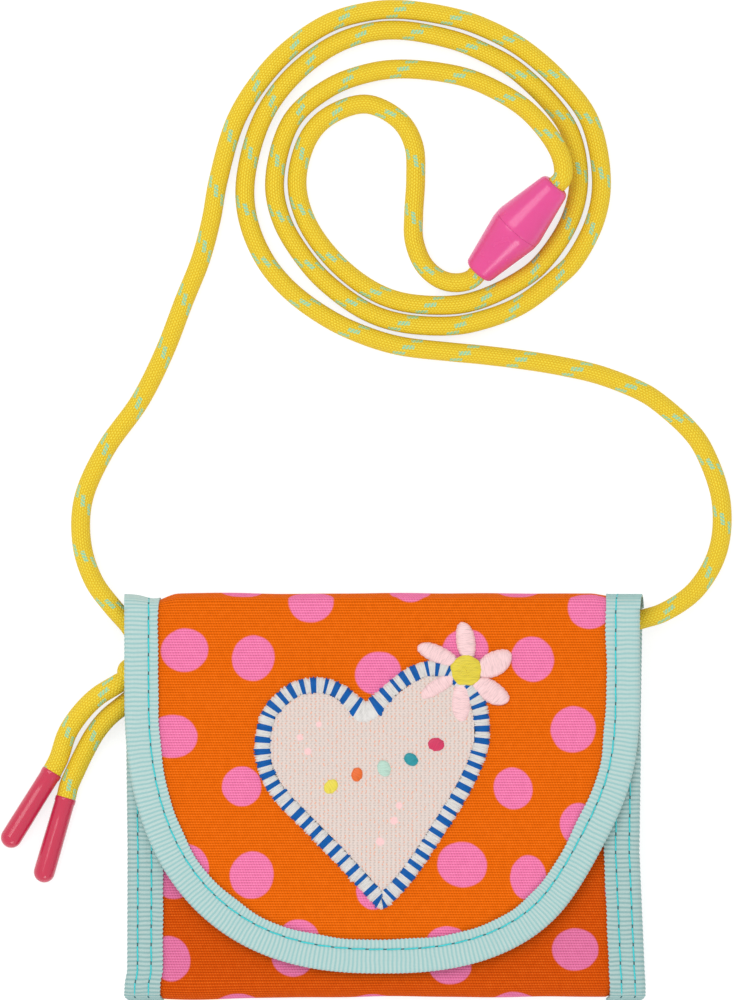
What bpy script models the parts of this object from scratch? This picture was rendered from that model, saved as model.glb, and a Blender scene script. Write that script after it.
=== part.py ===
"""Neck wallet: a fold-over cloth wallet with a round flap, on a neck cord with a pull-apart clasp.

It lies on its back, as on a table. X runs across it, Y runs up it and Z comes out of its front.
The origin is on the table, under the middle of the closed wallet. All lengths are in metres.
"""

import math

import bpy
import numpy as np

# The closed wallet
WALLET_WIDTH = 0.130
WALLET_HEIGHT = 0.102
COMPARTMENT_DEPTH = 0.0064
MOUTH_ABOVE_BOTTOM = 0.061

# Cloth, tape and the room between layers
CLOTH = 0.0008
LINING = 0.0004
TAPE = 0.0005
LAYER_GAP = 0.0003
SIDE_TAPE_WIDTH = 0.0095
FLAP_TAPE_WIDTH = 0.0088
MOUTH_TAPE_WIDTH = 0.007
TAPE_SLOPE_LENGTH = 0.006

# Top fold
FOLD_BULGE = 0.001
HINGE_GAP = 0.0004

# Flap
FLAP_WIDTH = 0.129
FLAP_BOTTOM_MARGIN = 0.006
FLAP_CURVE_HEIGHT = 0.0712
FLAP_CURVE_POWER = 2.5
FLAP_CURVE_STEPS = 36

# Hook and loop pads
PAD_WIDTH = 0.040
PAD_HEIGHT = 0.018
PAD_ABOVE_BOTTOM = 0.018

# Card pocket on the back lining
CARD_POCKET_WIDTH = 0.107
CARD_POCKET_BOTTOM_MARGIN = 0.008
CARD_POCKET_HEIGHT = 0.073
CARD_HEM_HEIGHT = 0.006

# Heart patch, centred on the flap by these offsets from the origin
HEART_WIDTH = 0.0582
HEART_HEIGHT = 0.0618
HEART_X = -0.0032
HEART_Y = 0.0025
PATCH_THICKNESS = 0.0007
BORDER_WIDTH = 0.004
BORDER_THICKNESS = 0.001
# The heart's outline: shares of its width and height from its centre, notch to tip to notch
LEFT_LOBE_SHARES = [
    (-0.024, 0.334), (-0.127, 0.403), (-0.212, 0.431), (-0.324, 0.419), (-0.410, 0.366),
    (-0.470, 0.294), (-0.500, 0.152), (-0.479, 0.043), (-0.423, -0.051), (-0.311, -0.164),
    (-0.182, -0.285), (-0.045, -0.423), (0.041, -0.500),
]
RIGHT_LOBE_SHARES = [
    (0.041, -0.500), (0.122, -0.440), (0.208, -0.342), (0.307, -0.200), (0.406, -0.051),
    (0.487, 0.115), (0.504, 0.225), (0.483, 0.342), (0.414, 0.431), (0.328, 0.488),
    (0.251, 0.500), (0.152, 0.468), (0.084, 0.423), (-0.024, 0.334),
]
LOBE_STEPS = 4

# Flower on the patch
FLOWER_X = 0.0204
FLOWER_Y = 0.0311
PETAL_REACH = 0.0122
PETAL_LENGTH = 0.0104
PETAL_BREADTH = 0.0056
PETAL_THICKNESS = 0.0007
PETAL_ANGLES_DEG = (16, 90, 149, 209, 265, 320)
FLOWER_CORE_RADIUS = 0.0036
FLOWER_CENTRE_RADIUS = 0.0037
FLOWER_CENTRE_THICKNESS = 0.0006
FLOWER_STEPS = 96

# Neck cord
CORD_DIAMETER = 0.0046
CORD_STEP_DIAMETERS = 2.2
TAIL_STEP_DIAMETERS = 1.1
CORD_SIDES_RESOLUTION = 2
FINE_STEPS_AT_CLASP = 3
CLASP_CORD_STEPS = 7
CHANNEL_Y = 0.0410
CHANNEL_LEFT = -0.034
CHANNEL_RIGHT = 0.037
CHANNEL_FLANGE = 0.0022
CHANNEL_ARCH_STEPS = 12

# Knot that ties both halves of the cord
KNOT_X = -0.0606
KNOT_Y = 0.0300
KNOT_Z = 0.0072
KNOT_HALF_SIZE = (0.0058, 0.0056, 0.0037)
KNOT_RINGS = 9
KNOT_SIDES = 18

# Clasp
CLASP_LENGTH = 0.0300
CLASP_RADIUS = 0.0066
CLASP_END_RADIUS = 0.0038
CLASP_BELT = 0.0010
CLASP_ROUNDING = 0.0007
CLASP_SOCKET_END = (0.0233, 0.1306)
CLASP_PLUG_END = (0.0429, 0.1524)
PRONG_RADIUS = 0.0028
PRONG_LENGTH = 0.0046
PRONG_RING_RADIUS = 0.0031
PRONG_RING_LENGTH = 0.0010
PRONG_CLEARANCE = 0.0004
TURNED_SIDES = 24

# Moulded tips on the free ends
TIP_RADIUS = 0.00265
TIP_LENGTH = 0.0221
TIP_MOUTH_ROUNDING = 0.0003
TIP_END_STEPS = 5
TIP_1_START = (-0.0831, 0.0057)
TIP_1_AIM = (-0.0948, -0.0131)
TIP_2_START = (-0.0797, -0.0008)
TIP_2_AIM = (-0.0859, -0.0221)

# Routes of the cord: x, y and the height of its middle above where it would lie on the table
LEFT_ROUTE = [
    (0.0446, 0.1574, 0.0075), (0.0431, 0.1617, 0.0064), (0.0387, 0.1680, 0.0039),
    (0.0335, 0.1728, 0.0018), (0.0239, 0.1781, 0.0002), (0.0164, 0.1803, 0.0),
    (0.0039, 0.1815, 0.0),
    (-0.0044, 0.1804, 0.0), (-0.0138, 0.1768, 0.0), (-0.0232, 0.1686, 0.0), (-0.0275, 0.1536, 0.0),
    (-0.0257, 0.1436, 0.0), (-0.0197, 0.1336, 0.0), (-0.0139, 0.1274, 0.0), (-0.0046, 0.1209, 0.0),
    (0.0039, 0.1180, 0.0), (0.0164, 0.1172, 0.0), (0.0240, 0.1185, 0.0), (0.0341, 0.1224, 0.0),
    (0.0439, 0.1299, 0.0), (0.0475, 0.1336, 0.0), (0.0527, 0.1436, 0.0), (0.0543, 0.1536, 0.0),
    (0.0513, 0.1686, 0.0), (0.0442, 0.1782, 0.0), (0.0342, 0.1869, 0.0), (0.0241, 0.1922, 0.0),
    (0.0164, 0.1946, 0.0), (0.0039, 0.1964, 0.0), (-0.0044, 0.1958, 0.0), (-0.0137, 0.1931, 0.0),
    (-0.0237, 0.1865, 0.0), (-0.0310, 0.1787, 0.0), (-0.0372, 0.1686, 0.0), (-0.0416, 0.1536, 0.0),
    (-0.0434, 0.1436, 0.0), (-0.0461, 0.1336, 0.0), (-0.0501, 0.1236, 0.0), (-0.0549, 0.1111, 0.0),
    (-0.0611, 0.0986, 0.0), (-0.0699, 0.0861, 0.0), (-0.0754, 0.0736, 0.0), (-0.0757, 0.0625, 0.0006),
    (-0.0728, 0.0535, 0.0016), (-0.0680, 0.0469, 0.0034), (-0.0640, 0.0424, 0.0045),
    (-0.0620, 0.0393, 0.0048),
]
RIGHT_ROUTE = [
    (0.0176, 0.1280, 0.0004), (0.0136, 0.1291, 0.0), (0.0097, 0.1327, 0.0), (0.0074, 0.1387, 0.0),
    (0.0073, 0.1450, 0.0), (0.0078, 0.1540, 0.0), (0.0073, 0.1625, 0.0), (0.0038, 0.1686, 0.0), (-0.0044, 0.1727, 0.0), (-0.0135, 0.1700, 0.0), (-0.0189, 0.1645, 0.0),
    (-0.0219, 0.1536, 0.0), (-0.0197, 0.1437, 0.0), (-0.0130, 0.1340, 0.0), (-0.0043, 0.1268, 0.0),
    (0.0040, 0.1233, 0.0), (0.0164, 0.1224, 0.0), (0.0238, 0.1238, 0.0), (0.0337, 0.1285, 0.0),
    (0.0393, 0.1329, 0.0), (0.0463, 0.1434, 0.0), (0.0486, 0.1537, 0.0), (0.0459, 0.1668, 0.0),
    (0.0336, 0.1806, 0.0), (0.0238, 0.1862, 0.0), (0.0163, 0.1890, 0.0), (0.0039, 0.1912, 0.0),
    (-0.0044, 0.1905, 0.0), (-0.0136, 0.1870, 0.0), (-0.0240, 0.1787, 0.0), (-0.0308, 0.1686, 0.0),
    (-0.0348, 0.1536, 0.0), (-0.0341, 0.1436, 0.0), (-0.0299, 0.1336, 0.0), (-0.0236, 0.1260, 0.0),
    (-0.0136, 0.1188, 0.0), (-0.0044, 0.1146, 0.0), (0.0039, 0.1122, 0.0), (0.0164, 0.1107, 0.0),
    (0.0239, 0.1100, 0.0), (0.0339, 0.1088, 0.0), (0.0439, 0.1072, 0.0), (0.0539, 0.1049, 0.0),
    (0.0639, 0.1010, 0.0), (0.0679, 0.0986, 0.0), (0.0764, 0.0911, 0.0), (0.0799, 0.0861, 0.0),
    (0.0842, 0.0736, 0.0), (0.0835, 0.0611, 0.0002), (0.0779, 0.0512, 0.0014),
    (0.0699, 0.0456, 0.0034), (0.0651, 0.0440, 0.0039), (0.0590, 0.0424, 0.0040),
    (0.0530, 0.0413, 0.0034), (0.0470, 0.0410, 0.0027), (0.0300, 0.0410, 0.0026),
    (0.0, 0.0410, 0.0026), (-0.0300, 0.0410, 0.0026),
    (-0.0440, 0.0410, 0.0028), (-0.0500, 0.0396, 0.0040), (-0.0537, 0.0366, 0.0049),
]
TAIL_1_ROUTE = [
    (-0.0668, 0.0276, 0.0060), (-0.0718, 0.0245, 0.0050), (-0.0761, 0.0202, 0.0030),
    (-0.0794, 0.0152, 0.0012), (-0.0815, 0.0090, 0.0005), (-0.0829, 0.0062, 0.0004),
]
TAIL_2_ROUTE = [
    (-0.0634, 0.0240, 0.0037), (-0.0656, 0.0222, 0.0036), (-0.0692, 0.0192, 0.0026),
    (-0.0724, 0.0153, 0.0012), (-0.0750, 0.0107, 0.0005), (-0.0772, 0.0061, 0.0004),
    (-0.0790, 0.0020, 0.0004), (-0.0796, -0.0005, 0.0004),
]
ROUTE_STEPS = 12

# Looks, from the photograph: red, green and blue out of 255, then roughness
COLOURS = {
    "orange_cloth": ((238, 106, 8), 0.80),
    "lining_cloth": ((246, 150, 60), 0.85),
    "mint_tape": ((170, 219, 214), 0.75),
    "cream_thread": ((228, 214, 200), 0.70),
    "blue_thread": ((40, 90, 170), 0.55),
    "petal_thread": ((250, 205, 205), 0.60),
    "yellow_thread": ((240, 215, 70), 0.60),
    "hook_pad": ((225, 225, 215), 0.85),
    "loop_pad": ((235, 235, 225), 0.95),
    "yellow_braid": ((240, 200, 50), 0.65),
    "pink_plastic": ((240, 70, 150), 0.25),
    "crimson_plastic": ((214, 50, 85), 0.25),
}

# Sizes that follow from those above
CORD_RADIUS = CORD_DIAMETER / 2
HALF_WIDTH = WALLET_WIDTH / 2
TOP_Y = WALLET_HEIGHT / 2
BOTTOM_Y = -WALLET_HEIGHT / 2
MOUTH_Y = BOTTOM_Y + MOUTH_ABOVE_BOTTOM
CLOTH_HALF_WIDTH = HALF_WIDTH - TAPE - LAYER_GAP
BACK_Z = TAPE + LAYER_GAP
BACK_LINING_Z = BACK_Z + CLOTH + LAYER_GAP
FLOOR_Z = BACK_LINING_Z + LINING
ROOF_Z = FLOOR_Z + COMPARTMENT_DEPTH
FRONT_Z = ROOF_Z + LINING + LAYER_GAP
FRONT_TOP_Z = FRONT_Z + CLOTH
FRONT_TAPE_Z = FRONT_TOP_Z + LAYER_GAP
SHUT_TOP_Z = FRONT_TAPE_Z + TAPE
FLAP_LOW_Z = SHUT_TOP_Z + LAYER_GAP
FLAP_LINING_Z = FLAP_LOW_Z + TAPE + LAYER_GAP
FLAP_Z = FLAP_LINING_Z + LINING + LAYER_GAP
FLAP_TAPE_Z = FLAP_Z + CLOTH + LAYER_GAP
FLAP_TOP_Z = FLAP_TAPE_Z + TAPE
FOLD_Z = SHUT_TOP_Z / 2
FOLD_OUTER_RADIUS = SHUT_TOP_Z / 2
BOTTOM_FOLD_Y = BOTTOM_Y + FOLD_OUTER_RADIUS
OUTER_STACK = TAPE + LAYER_GAP + CLOTH / 2
INNER_STACK = CLOTH / 2 + LAYER_GAP + LINING
FOLD_Y = TOP_Y - OUTER_STACK - FOLD_BULGE - INNER_STACK
LAYERS_END_Y = FOLD_Y - HINGE_GAP
FOLD_CLOTH_Y = FOLD_Y + INNER_STACK
FOLD_LOW_Z = BACK_Z + CLOTH / 2
FOLD_HIGH_Z = FLAP_Z + CLOTH / 2
FLAP_HALF_WIDTH = FLAP_WIDTH / 2
FLAP_CURVE_Y = BOTTOM_Y + FLAP_BOTTOM_MARGIN + FLAP_CURVE_HEIGHT


def clear_scene():
    for obj in list(bpy.data.objects):
        bpy.data.objects.remove(obj)


def linear(channel):
    value = channel / 255
    return value / 12.92 if value <= 0.04045 else ((value + 0.055) / 1.055) ** 2.4


def make_materials():
    made = {}
    for name, (colour, roughness) in COLOURS.items():
        material = bpy.data.materials.new(name)
        material.use_nodes = True
        shader = material.node_tree.nodes["Principled BSDF"]
        shader.inputs["Base Color"].default_value = (*map(linear, colour), 1)
        shader.inputs["Roughness"].default_value = roughness
        shader.inputs["Metallic"].default_value = 0
        made[name] = material
    return made


def skin(name, rings, material, closed=False, smooth=False):
    """A closed body whose skin runs through rings of points, with flat ends unless it closes on itself."""
    count = len(rings[0])
    points = [tuple(point) for ring in rings for point in ring]
    spans = len(rings) if closed else len(rings) - 1
    faces = []
    for ring in range(spans):
        here = ring * count
        there = (ring + 1) % len(rings) * count
        for side in range(count):
            after = (side + 1) % count
            faces.append((here + side, here + after, there + after, there + side))
    if not closed:
        faces.append(tuple(reversed(range(count))))
        faces.append(tuple(range(spans * count, (spans + 1) * count)))
    mesh = bpy.data.meshes.new(name)
    mesh.from_pydata(points, [], faces)
    face_outwards(mesh)
    mesh.materials.append(material)
    if smooth:
        mesh.shade_smooth()
        mesh.set_sharp_from_angle(angle=math.radians(40))
    obj = bpy.data.objects.new(name, mesh)
    bpy.context.scene.collection.objects.link(obj)
    return obj


def face_outwards(mesh):
    """Turns every face round if the body is inside out."""
    mesh.calc_loop_triangles()
    corners = [[mesh.vertices[i].co for i in triangle.vertices] for triangle in mesh.loop_triangles]
    volume = sum(a.dot(b.cross(c)) for a, b, c in corners)
    if volume < 0:
        mesh.flip_normals()


def plate(name, outline, low, thickness, material):
    """A flat piece: an outline of (x, y) points, raised by its thickness."""
    rings = [[(x, y, z) for x, y in outline] for z in (low, low + thickness)]
    return skin(name, rings, material)


def strip(name, outline, left, right, material, smooth=False):
    """A piece with one cross-section of (y, z) points from its left end to its right end."""
    rings = [[(x, y, z) for y, z in outline] for x in (left, right)]
    return skin(name, rings, material, smooth=smooth)


def rectangle(left, right, low, high):
    return [(left, low), (right, low), (right, high), (left, high)]


def layer(name, low_y, high_y, low_z, thickness, material, half_width=CLOTH_HALF_WIDTH):
    outline = rectangle(low_y, high_y, low_z, low_z + thickness)
    return strip(name, outline, -half_width, half_width, material)


def arc(centre, radius, start_deg, end_deg, steps):
    angles = np.radians(np.linspace(start_deg, end_deg, steps + 1))
    return [
        (centre[0] + radius * math.cos(angle), centre[1] + radius * math.sin(angle))
        for angle in angles
    ]


def ribbon(outer, inner):
    """The outline between two lines that run the same way."""
    return list(outer) + list(reversed(inner))


def pouch_panels(materials):
    orange = materials["orange_cloth"]
    lining = materials["lining_cloth"]
    bend = BOTTOM_FOLD_Y + LAYER_GAP / 2
    layer("back_panel", bend, LAYERS_END_Y, BACK_Z, CLOTH, orange)
    layer("back_lining", bend, LAYERS_END_Y, BACK_LINING_Z, LINING, lining)
    mouth = MOUTH_Y - TAPE - LAYER_GAP
    layer("front_panel", bend, mouth, FRONT_Z, CLOTH, orange)
    layer("front_lining", bend, mouth, ROOF_Z, LINING, lining)
    middle = (BOTTOM_FOLD_Y - LAYER_GAP / 2, FOLD_Z)
    folds = (
        ("bottom_fold", FOLD_Z - BACK_Z, CLOTH, orange),
        ("lining_fold", FOLD_Z - BACK_LINING_Z, LINING, lining),
    )
    for name, radius, thickness, material in folds:
        outer = arc(middle, radius, 90, 270, 14)
        inner = arc(middle, radius - thickness, 90, 270, 14)
        outline = ribbon(outer, inner)
        strip(name, outline, -CLOTH_HALF_WIDTH, CLOTH_HALF_WIDTH, material, smooth=True)


def channel_section(depth, low, high):
    """A tape folded round an edge: (distance in from the edge, z) points of its C-shaped section."""
    return [
        (0, low), (depth, low), (depth, low + TAPE), (TAPE, low + TAPE),
        (TAPE, high - TAPE), (depth, high - TAPE), (depth, high), (0, high),
    ]


def side_tapes(materials):
    """The binding of each side: round front and back below the mouth, then round the back alone."""
    short_top = FLOOR_Z + LAYER_GAP + TAPE
    stations = [
        (LAYERS_END_Y, short_top),
        (MOUTH_Y + TAPE_SLOPE_LENGTH, short_top),
        (MOUTH_Y, SHUT_TOP_Z),
        (BOTTOM_FOLD_Y, SHUT_TOP_Z),
    ]
    for name, side in (("side_tape_left", -1), ("side_tape_right", 1)):
        rings = []
        for y, top in stations:
            section = channel_section(SIDE_TAPE_WIDTH, 0, top)
            rings.append([(side * (HALF_WIDTH - depth), y, z) for depth, z in section])
        # Round the bottom fold, the section's heights swing in towards the fold's middle.
        section = channel_section(SIDE_TAPE_WIDTH, 0, SHUT_TOP_Z)
        for angle in np.radians((20, 40, 58, 72)):
            ring = []
            for depth, z in section:
                reach = abs(z - FOLD_Z)
                height = FOLD_Z + (z - FOLD_Z) * math.cos(angle)
                ring.append((side * (HALF_WIDTH - depth), BOTTOM_FOLD_Y - reach * math.sin(angle), height))
            rings.append(ring)
        skin(name, rings, materials["mint_tape"])


def mouth_tape(materials):
    """The binding of the front section's mouth, between the side tapes."""
    half_width = HALF_WIDTH - SIDE_TAPE_WIDTH - LAYER_GAP
    low = ROOF_Z - LAYER_GAP - TAPE
    section = channel_section(MOUTH_TAPE_WIDTH, low, SHUT_TOP_Z)
    outline = [(MOUTH_Y - depth, z) for depth, z in section]
    strip("mouth_tape", outline, -half_width, half_width, materials["mint_tape"])


def card_pocket(materials):
    half_width = CARD_POCKET_WIDTH / 2
    bottom = BOTTOM_Y + CARD_POCKET_BOTTOM_MARGIN
    top = bottom + CARD_POCKET_HEIGHT
    low = FLOOR_Z + LAYER_GAP
    hem = low + LINING + LAYER_GAP
    layer("card_pocket", bottom, top, low, LINING, materials["lining_cloth"], half_width)
    layer("card_pocket_hem", top - CARD_HEM_HEIGHT, top, hem, LINING, materials["mint_tape"], half_width)


def pad_outline(grow):
    low = BOTTOM_Y + PAD_ABOVE_BOTTOM
    half_width = PAD_WIDTH / 2 + grow
    return rectangle(-half_width, half_width, low - grow, low + PAD_HEIGHT + grow)


def cord_channel(materials):
    """A cloth strip sewn along both long edges over the cord, on the back lining."""
    low = FLOOR_Z + LAYER_GAP
    middle = (CHANNEL_Y, low + CORD_RADIUS)
    inner_radius = CORD_RADIUS + LAYER_GAP
    outer_radius = inner_radius + LINING
    arch = arc(middle, outer_radius, 0, 180, CHANNEL_ARCH_STEPS)
    bore = arc(middle, inner_radius, 0, 180, CHANNEL_ARCH_STEPS)
    outline = [
        (CHANNEL_Y + outer_radius + CHANNEL_FLANGE, low),
        (CHANNEL_Y + outer_radius + CHANNEL_FLANGE, low + LINING),
        (CHANNEL_Y + outer_radius, low + LINING),
        *arch,
        (CHANNEL_Y - outer_radius, low + LINING),
        (CHANNEL_Y - outer_radius - CHANNEL_FLANGE, low + LINING),
        (CHANNEL_Y - outer_radius - CHANNEL_FLANGE, low),
        (CHANNEL_Y - inner_radius, low),
        *reversed(bore),
        (CHANNEL_Y + inner_radius, low),
    ]
    strip("cord_channel", outline, CHANNEL_LEFT, CHANNEL_RIGHT, materials["mint_tape"])


def bulged_line(offset, steps=10):
    """A line up the top fold, bowed outwards, moved out by offset."""
    half_height = (FOLD_HIGH_Z - FOLD_LOW_Z) / 2
    radius = (half_height**2 + FOLD_BULGE**2) / (2 * FOLD_BULGE)
    swing = math.degrees(math.asin(half_height / radius))
    middle = (FOLD_CLOTH_Y + FOLD_BULGE - radius, (FOLD_LOW_Z + FOLD_HIGH_Z) / 2)
    return arc(middle, radius + offset, -swing, swing, steps)


def top_fold(materials, axis):
    """The cloth between back and flap, which turns about its lower edge."""
    cloth = ribbon(bulged_line(CLOTH / 2), bulged_line(-CLOTH / 2))
    pieces = [
        strip("fold_cloth", cloth, -CLOTH_HALF_WIDTH, CLOTH_HALF_WIDTH, materials["orange_cloth"], True)
    ]
    lining = rectangle(FOLD_Y, FOLD_Y + LINING, BACK_LINING_Z, FLAP_LINING_Z + LINING)
    half_width = CLOTH_HALF_WIDTH
    pieces.append(strip("fold_lining", lining, -half_width, half_width, materials["lining_cloth"]))
    outer = bulged_line(OUTER_STACK)
    inner = bulged_line(OUTER_STACK - TAPE)
    inner_edge = HALF_WIDTH - SIDE_TAPE_WIDTH
    ends = (
        ("fold_tape_left", -HALF_WIDTH, -inner_edge),
        ("fold_tape_right", inner_edge, HALF_WIDTH),
    )
    for name, left, right in ends:
        pieces.append(strip(name, ribbon(outer, inner), left, right, materials["mint_tape"], True))
    hang(pieces, axis)


def flap_edge(inset):
    """The flap's outline from top left round the bottom to top right, moved in from its edge."""
    across = FLAP_HALF_WIDTH
    down = FLAP_CURVE_HEIGHT
    power = 2 / FLAP_CURVE_POWER
    points = [(inset - across, LAYERS_END_Y)]
    for angle in np.linspace(math.pi, 2 * math.pi, FLAP_CURVE_STEPS + 1):
        cosine = math.cos(angle)
        sine = abs(math.sin(angle))
        x = across * math.copysign(abs(cosine) ** power, cosine)
        y = -down * sine**power
        slope_x = math.copysign((abs(x) / across) ** (FLAP_CURVE_POWER - 1), x) / across
        slope_y = -((abs(y) / down) ** (FLAP_CURVE_POWER - 1)) / down
        steepness = math.hypot(slope_x, slope_y)
        points.append((x - inset * slope_x / steepness, FLAP_CURVE_Y + y - inset * slope_y / steepness))
    points.append((across - inset, LAYERS_END_Y))
    return points


def flap(materials, axis):
    edge = TAPE + LAYER_GAP
    panel = plate("flap_panel", flap_edge(edge), FLAP_Z, CLOTH, materials["orange_cloth"])
    lining = plate("flap_lining", flap_edge(edge), FLAP_LINING_Z, LINING, materials["lining_cloth"])
    section = channel_section(FLAP_TAPE_WIDTH, FLAP_LOW_Z, FLAP_TOP_Z)
    lines = {depth: flap_edge(depth) for depth, _ in section}
    rings = [
        [(*lines[depth][station], z) for depth, z in section] for station in range(len(lines[0]))
    ]
    tape = skin("flap_tape", rings, materials["mint_tape"])
    pad = plate("loop_pad", pad_outline(0), FLAP_LOW_Z, TAPE, materials["loop_pad"])
    plate("hook_pad", pad_outline(0), FRONT_TAPE_Z, TAPE, materials["hook_pad"])
    hang([panel, lining, tape, pad], axis)


def smooth_line(points, steps):
    """Points on a smooth curve through the given ones (a centripetal Catmull-Rom spline)."""
    given = np.array(points, float)
    given = np.vstack([2 * given[0] - given[1], given, 2 * given[-1] - given[-2]])
    line = []
    for a, b, c, d in zip(given, given[1:], given[2:], given[3:]):
        t1 = np.linalg.norm(b - a) ** 0.5
        t2 = t1 + np.linalg.norm(c - b) ** 0.5
        t3 = t2 + np.linalg.norm(d - c) ** 0.5
        for t in np.linspace(t1, t2, steps, endpoint=False):
            ab = (t1 - t) / t1 * a + t / t1 * b
            bc = (t2 - t) / (t2 - t1) * b + (t - t1) / (t2 - t1) * c
            cd = (t3 - t) / (t3 - t2) * c + (t - t2) / (t3 - t2) * d
            abc = (t2 - t) / t2 * ab + t / t2 * bc
            bcd = (t3 - t) / (t3 - t1) * bc + (t - t1) / (t3 - t1) * cd
            line.append((t2 - t) / (t2 - t1) * abc + (t - t1) / (t2 - t1) * bcd)
    line.append(given[-2])
    return np.array(line)


def heart_outline():
    outline = []
    for lobe in (LEFT_LOBE_SHARES, RIGHT_LOBE_SHARES):
        places = [(HEART_X + x * HEART_WIDTH, HEART_Y + y * HEART_HEIGHT) for x, y in lobe]
        outline.extend(map(tuple, smooth_line(places, LOBE_STEPS)[:-1]))
    return outline


def inset_outline(outline, distance):
    """The outline moved inwards: only points that stay that far from every part of it are kept."""
    points = np.array(outline)
    ahead = np.roll(points, -1, axis=0) - points
    behind = points - np.roll(points, 1, axis=0)
    along = ahead / np.linalg.norm(ahead, axis=1)[:, None]
    along = along + behind / np.linalg.norm(behind, axis=1)[:, None]
    along = along / np.linalg.norm(along, axis=1)[:, None]
    # The outline runs anticlockwise, so its inside is on the left.
    moved = points + distance * np.stack([-along[:, 1], along[:, 0]], axis=1)
    kept = []
    for point in moved:
        if distance_to_outline(point, points) > distance * 0.98:
            kept.append(tuple(point))
    return kept


def distance_to_outline(point, outline):
    starts = outline
    spans = np.roll(outline, -1, axis=0) - starts
    shares = np.clip(((point - starts) * spans).sum(axis=1) / (spans**2).sum(axis=1), 0, 1)
    return np.linalg.norm(starts + shares[:, None] * spans - point, axis=1).min()


def flower_outline(grow):
    """Six petals round a core: on each ray from the middle, the furthest that a petal or the core reaches."""
    half_length = PETAL_LENGTH / 2 + grow
    half_breadth = PETAL_BREADTH / 2 + grow
    middle = PETAL_REACH - PETAL_LENGTH / 2
    outline = []
    for angle in np.linspace(0, 2 * math.pi, FLOWER_STEPS, endpoint=False):
        reach = FLOWER_CORE_RADIUS + grow
        for petal in PETAL_ANGLES_DEG:
            turn = angle - math.radians(petal)
            along = math.cos(turn) / half_length
            across = math.sin(turn) / half_breadth
            a = along**2 + across**2
            b = along * middle / half_length
            c = (middle / half_length) ** 2 - 1
            root = b * b - a * c
            if root > 0 and math.cos(turn) > 0:
                reach = max(reach, (b + math.sqrt(root)) / a)
        outline.append((FLOWER_X + reach * math.cos(angle), FLOWER_Y + reach * math.sin(angle)))
    return outline


def cut(obj, cutter):
    modifier = obj.modifiers.new("cut", "BOOLEAN")
    modifier.object = cutter
    modifier.operation = "DIFFERENCE"
    modifier.solver = "EXACT"
    cutter.hide_render = True
    cutter.display_type = "WIRE"


def heart_patch(materials, axis):
    """The sewn heart, its satin border and the flower, on the flap."""
    outline = heart_outline()
    low = FLAP_TAPE_Z
    border = plate("heart_border", outline, low, BORDER_THICKNESS, materials["blue_thread"])
    window = inset_outline(outline, BORDER_WIDTH)
    field = inset_outline(outline, BORDER_WIDTH + LAYER_GAP)
    patch = plate("heart_patch", field, low, PATCH_THICKNESS, materials["cream_thread"])
    overrun = BORDER_THICKNESS
    hole = plate("heart_window_cutter", window, low - overrun, 3 * overrun, materials["cream_thread"])
    bloom = flower_outline(LAYER_GAP)
    room = plate("flower_cutter", bloom, low - overrun, 3 * overrun, materials["cream_thread"])
    cut(border, hole)
    cut(border, room)
    cut(patch, room)
    flower = plate("flower", flower_outline(0), low, PETAL_THICKNESS, materials["petal_thread"])
    centre_low = low + PETAL_THICKNESS + LAYER_GAP
    rings = []
    for share, z in ((1, centre_low), (1, centre_low + FLOWER_CENTRE_THICKNESS / 2),
                     (0.8, centre_low + FLOWER_CENTRE_THICKNESS)):
        circle = arc((FLOWER_X, FLOWER_Y), FLOWER_CENTRE_RADIUS * share, 0, 360, TURNED_SIDES)[:-1]
        rings.append([(x, y, z) for x, y in circle])
    centre = skin("flower_centre", rings, materials["yellow_thread"])
    hang([border, patch, flower, centre, hole, room], axis)


def turned(name, start, along, profile, material, sides=TURNED_SIDES):
    """A turned piece: profile is (distance along its axis, radius) points."""
    start = np.array(start)
    along = np.array(along)
    across = np.cross((0, 0, 1), along)
    across = across / np.linalg.norm(across)
    upright = np.cross(along, across)
    rings = []
    for distance, radius in profile:
        ring = []
        for angle in np.linspace(0, 2 * math.pi, sides, endpoint=False):
            out = math.cos(angle) * across + math.sin(angle) * upright
            ring.append(tuple(start + distance * along + radius * out))
        rings.append(ring)
    return skin(name, rings, material, smooth=True)


def aim(start, end):
    length = math.dist(start, end)
    return ((end[0] - start[0]) / length, (end[1] - start[1]) / length)


def clasp_line():
    """The clasp's middle and its direction towards the plug: it leans on its belt and its socket end."""
    reach = CLASP_LENGTH / 2
    belt = LAYER_GAP / 2 + CLASP_BELT
    tilt = math.atan((CLASP_RADIUS - CLASP_END_RADIUS) / (reach - belt))
    x, y = aim(CLASP_SOCKET_END, CLASP_PLUG_END)
    middle = [(a + b) / 2 for a, b in zip(CLASP_SOCKET_END, CLASP_PLUG_END)]
    height = CLASP_RADIUS * math.cos(tilt) + belt * math.sin(tilt)
    along = (x * math.cos(tilt), y * math.cos(tilt), math.sin(tilt))
    return np.array([*middle, height]), np.array(along)


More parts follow.
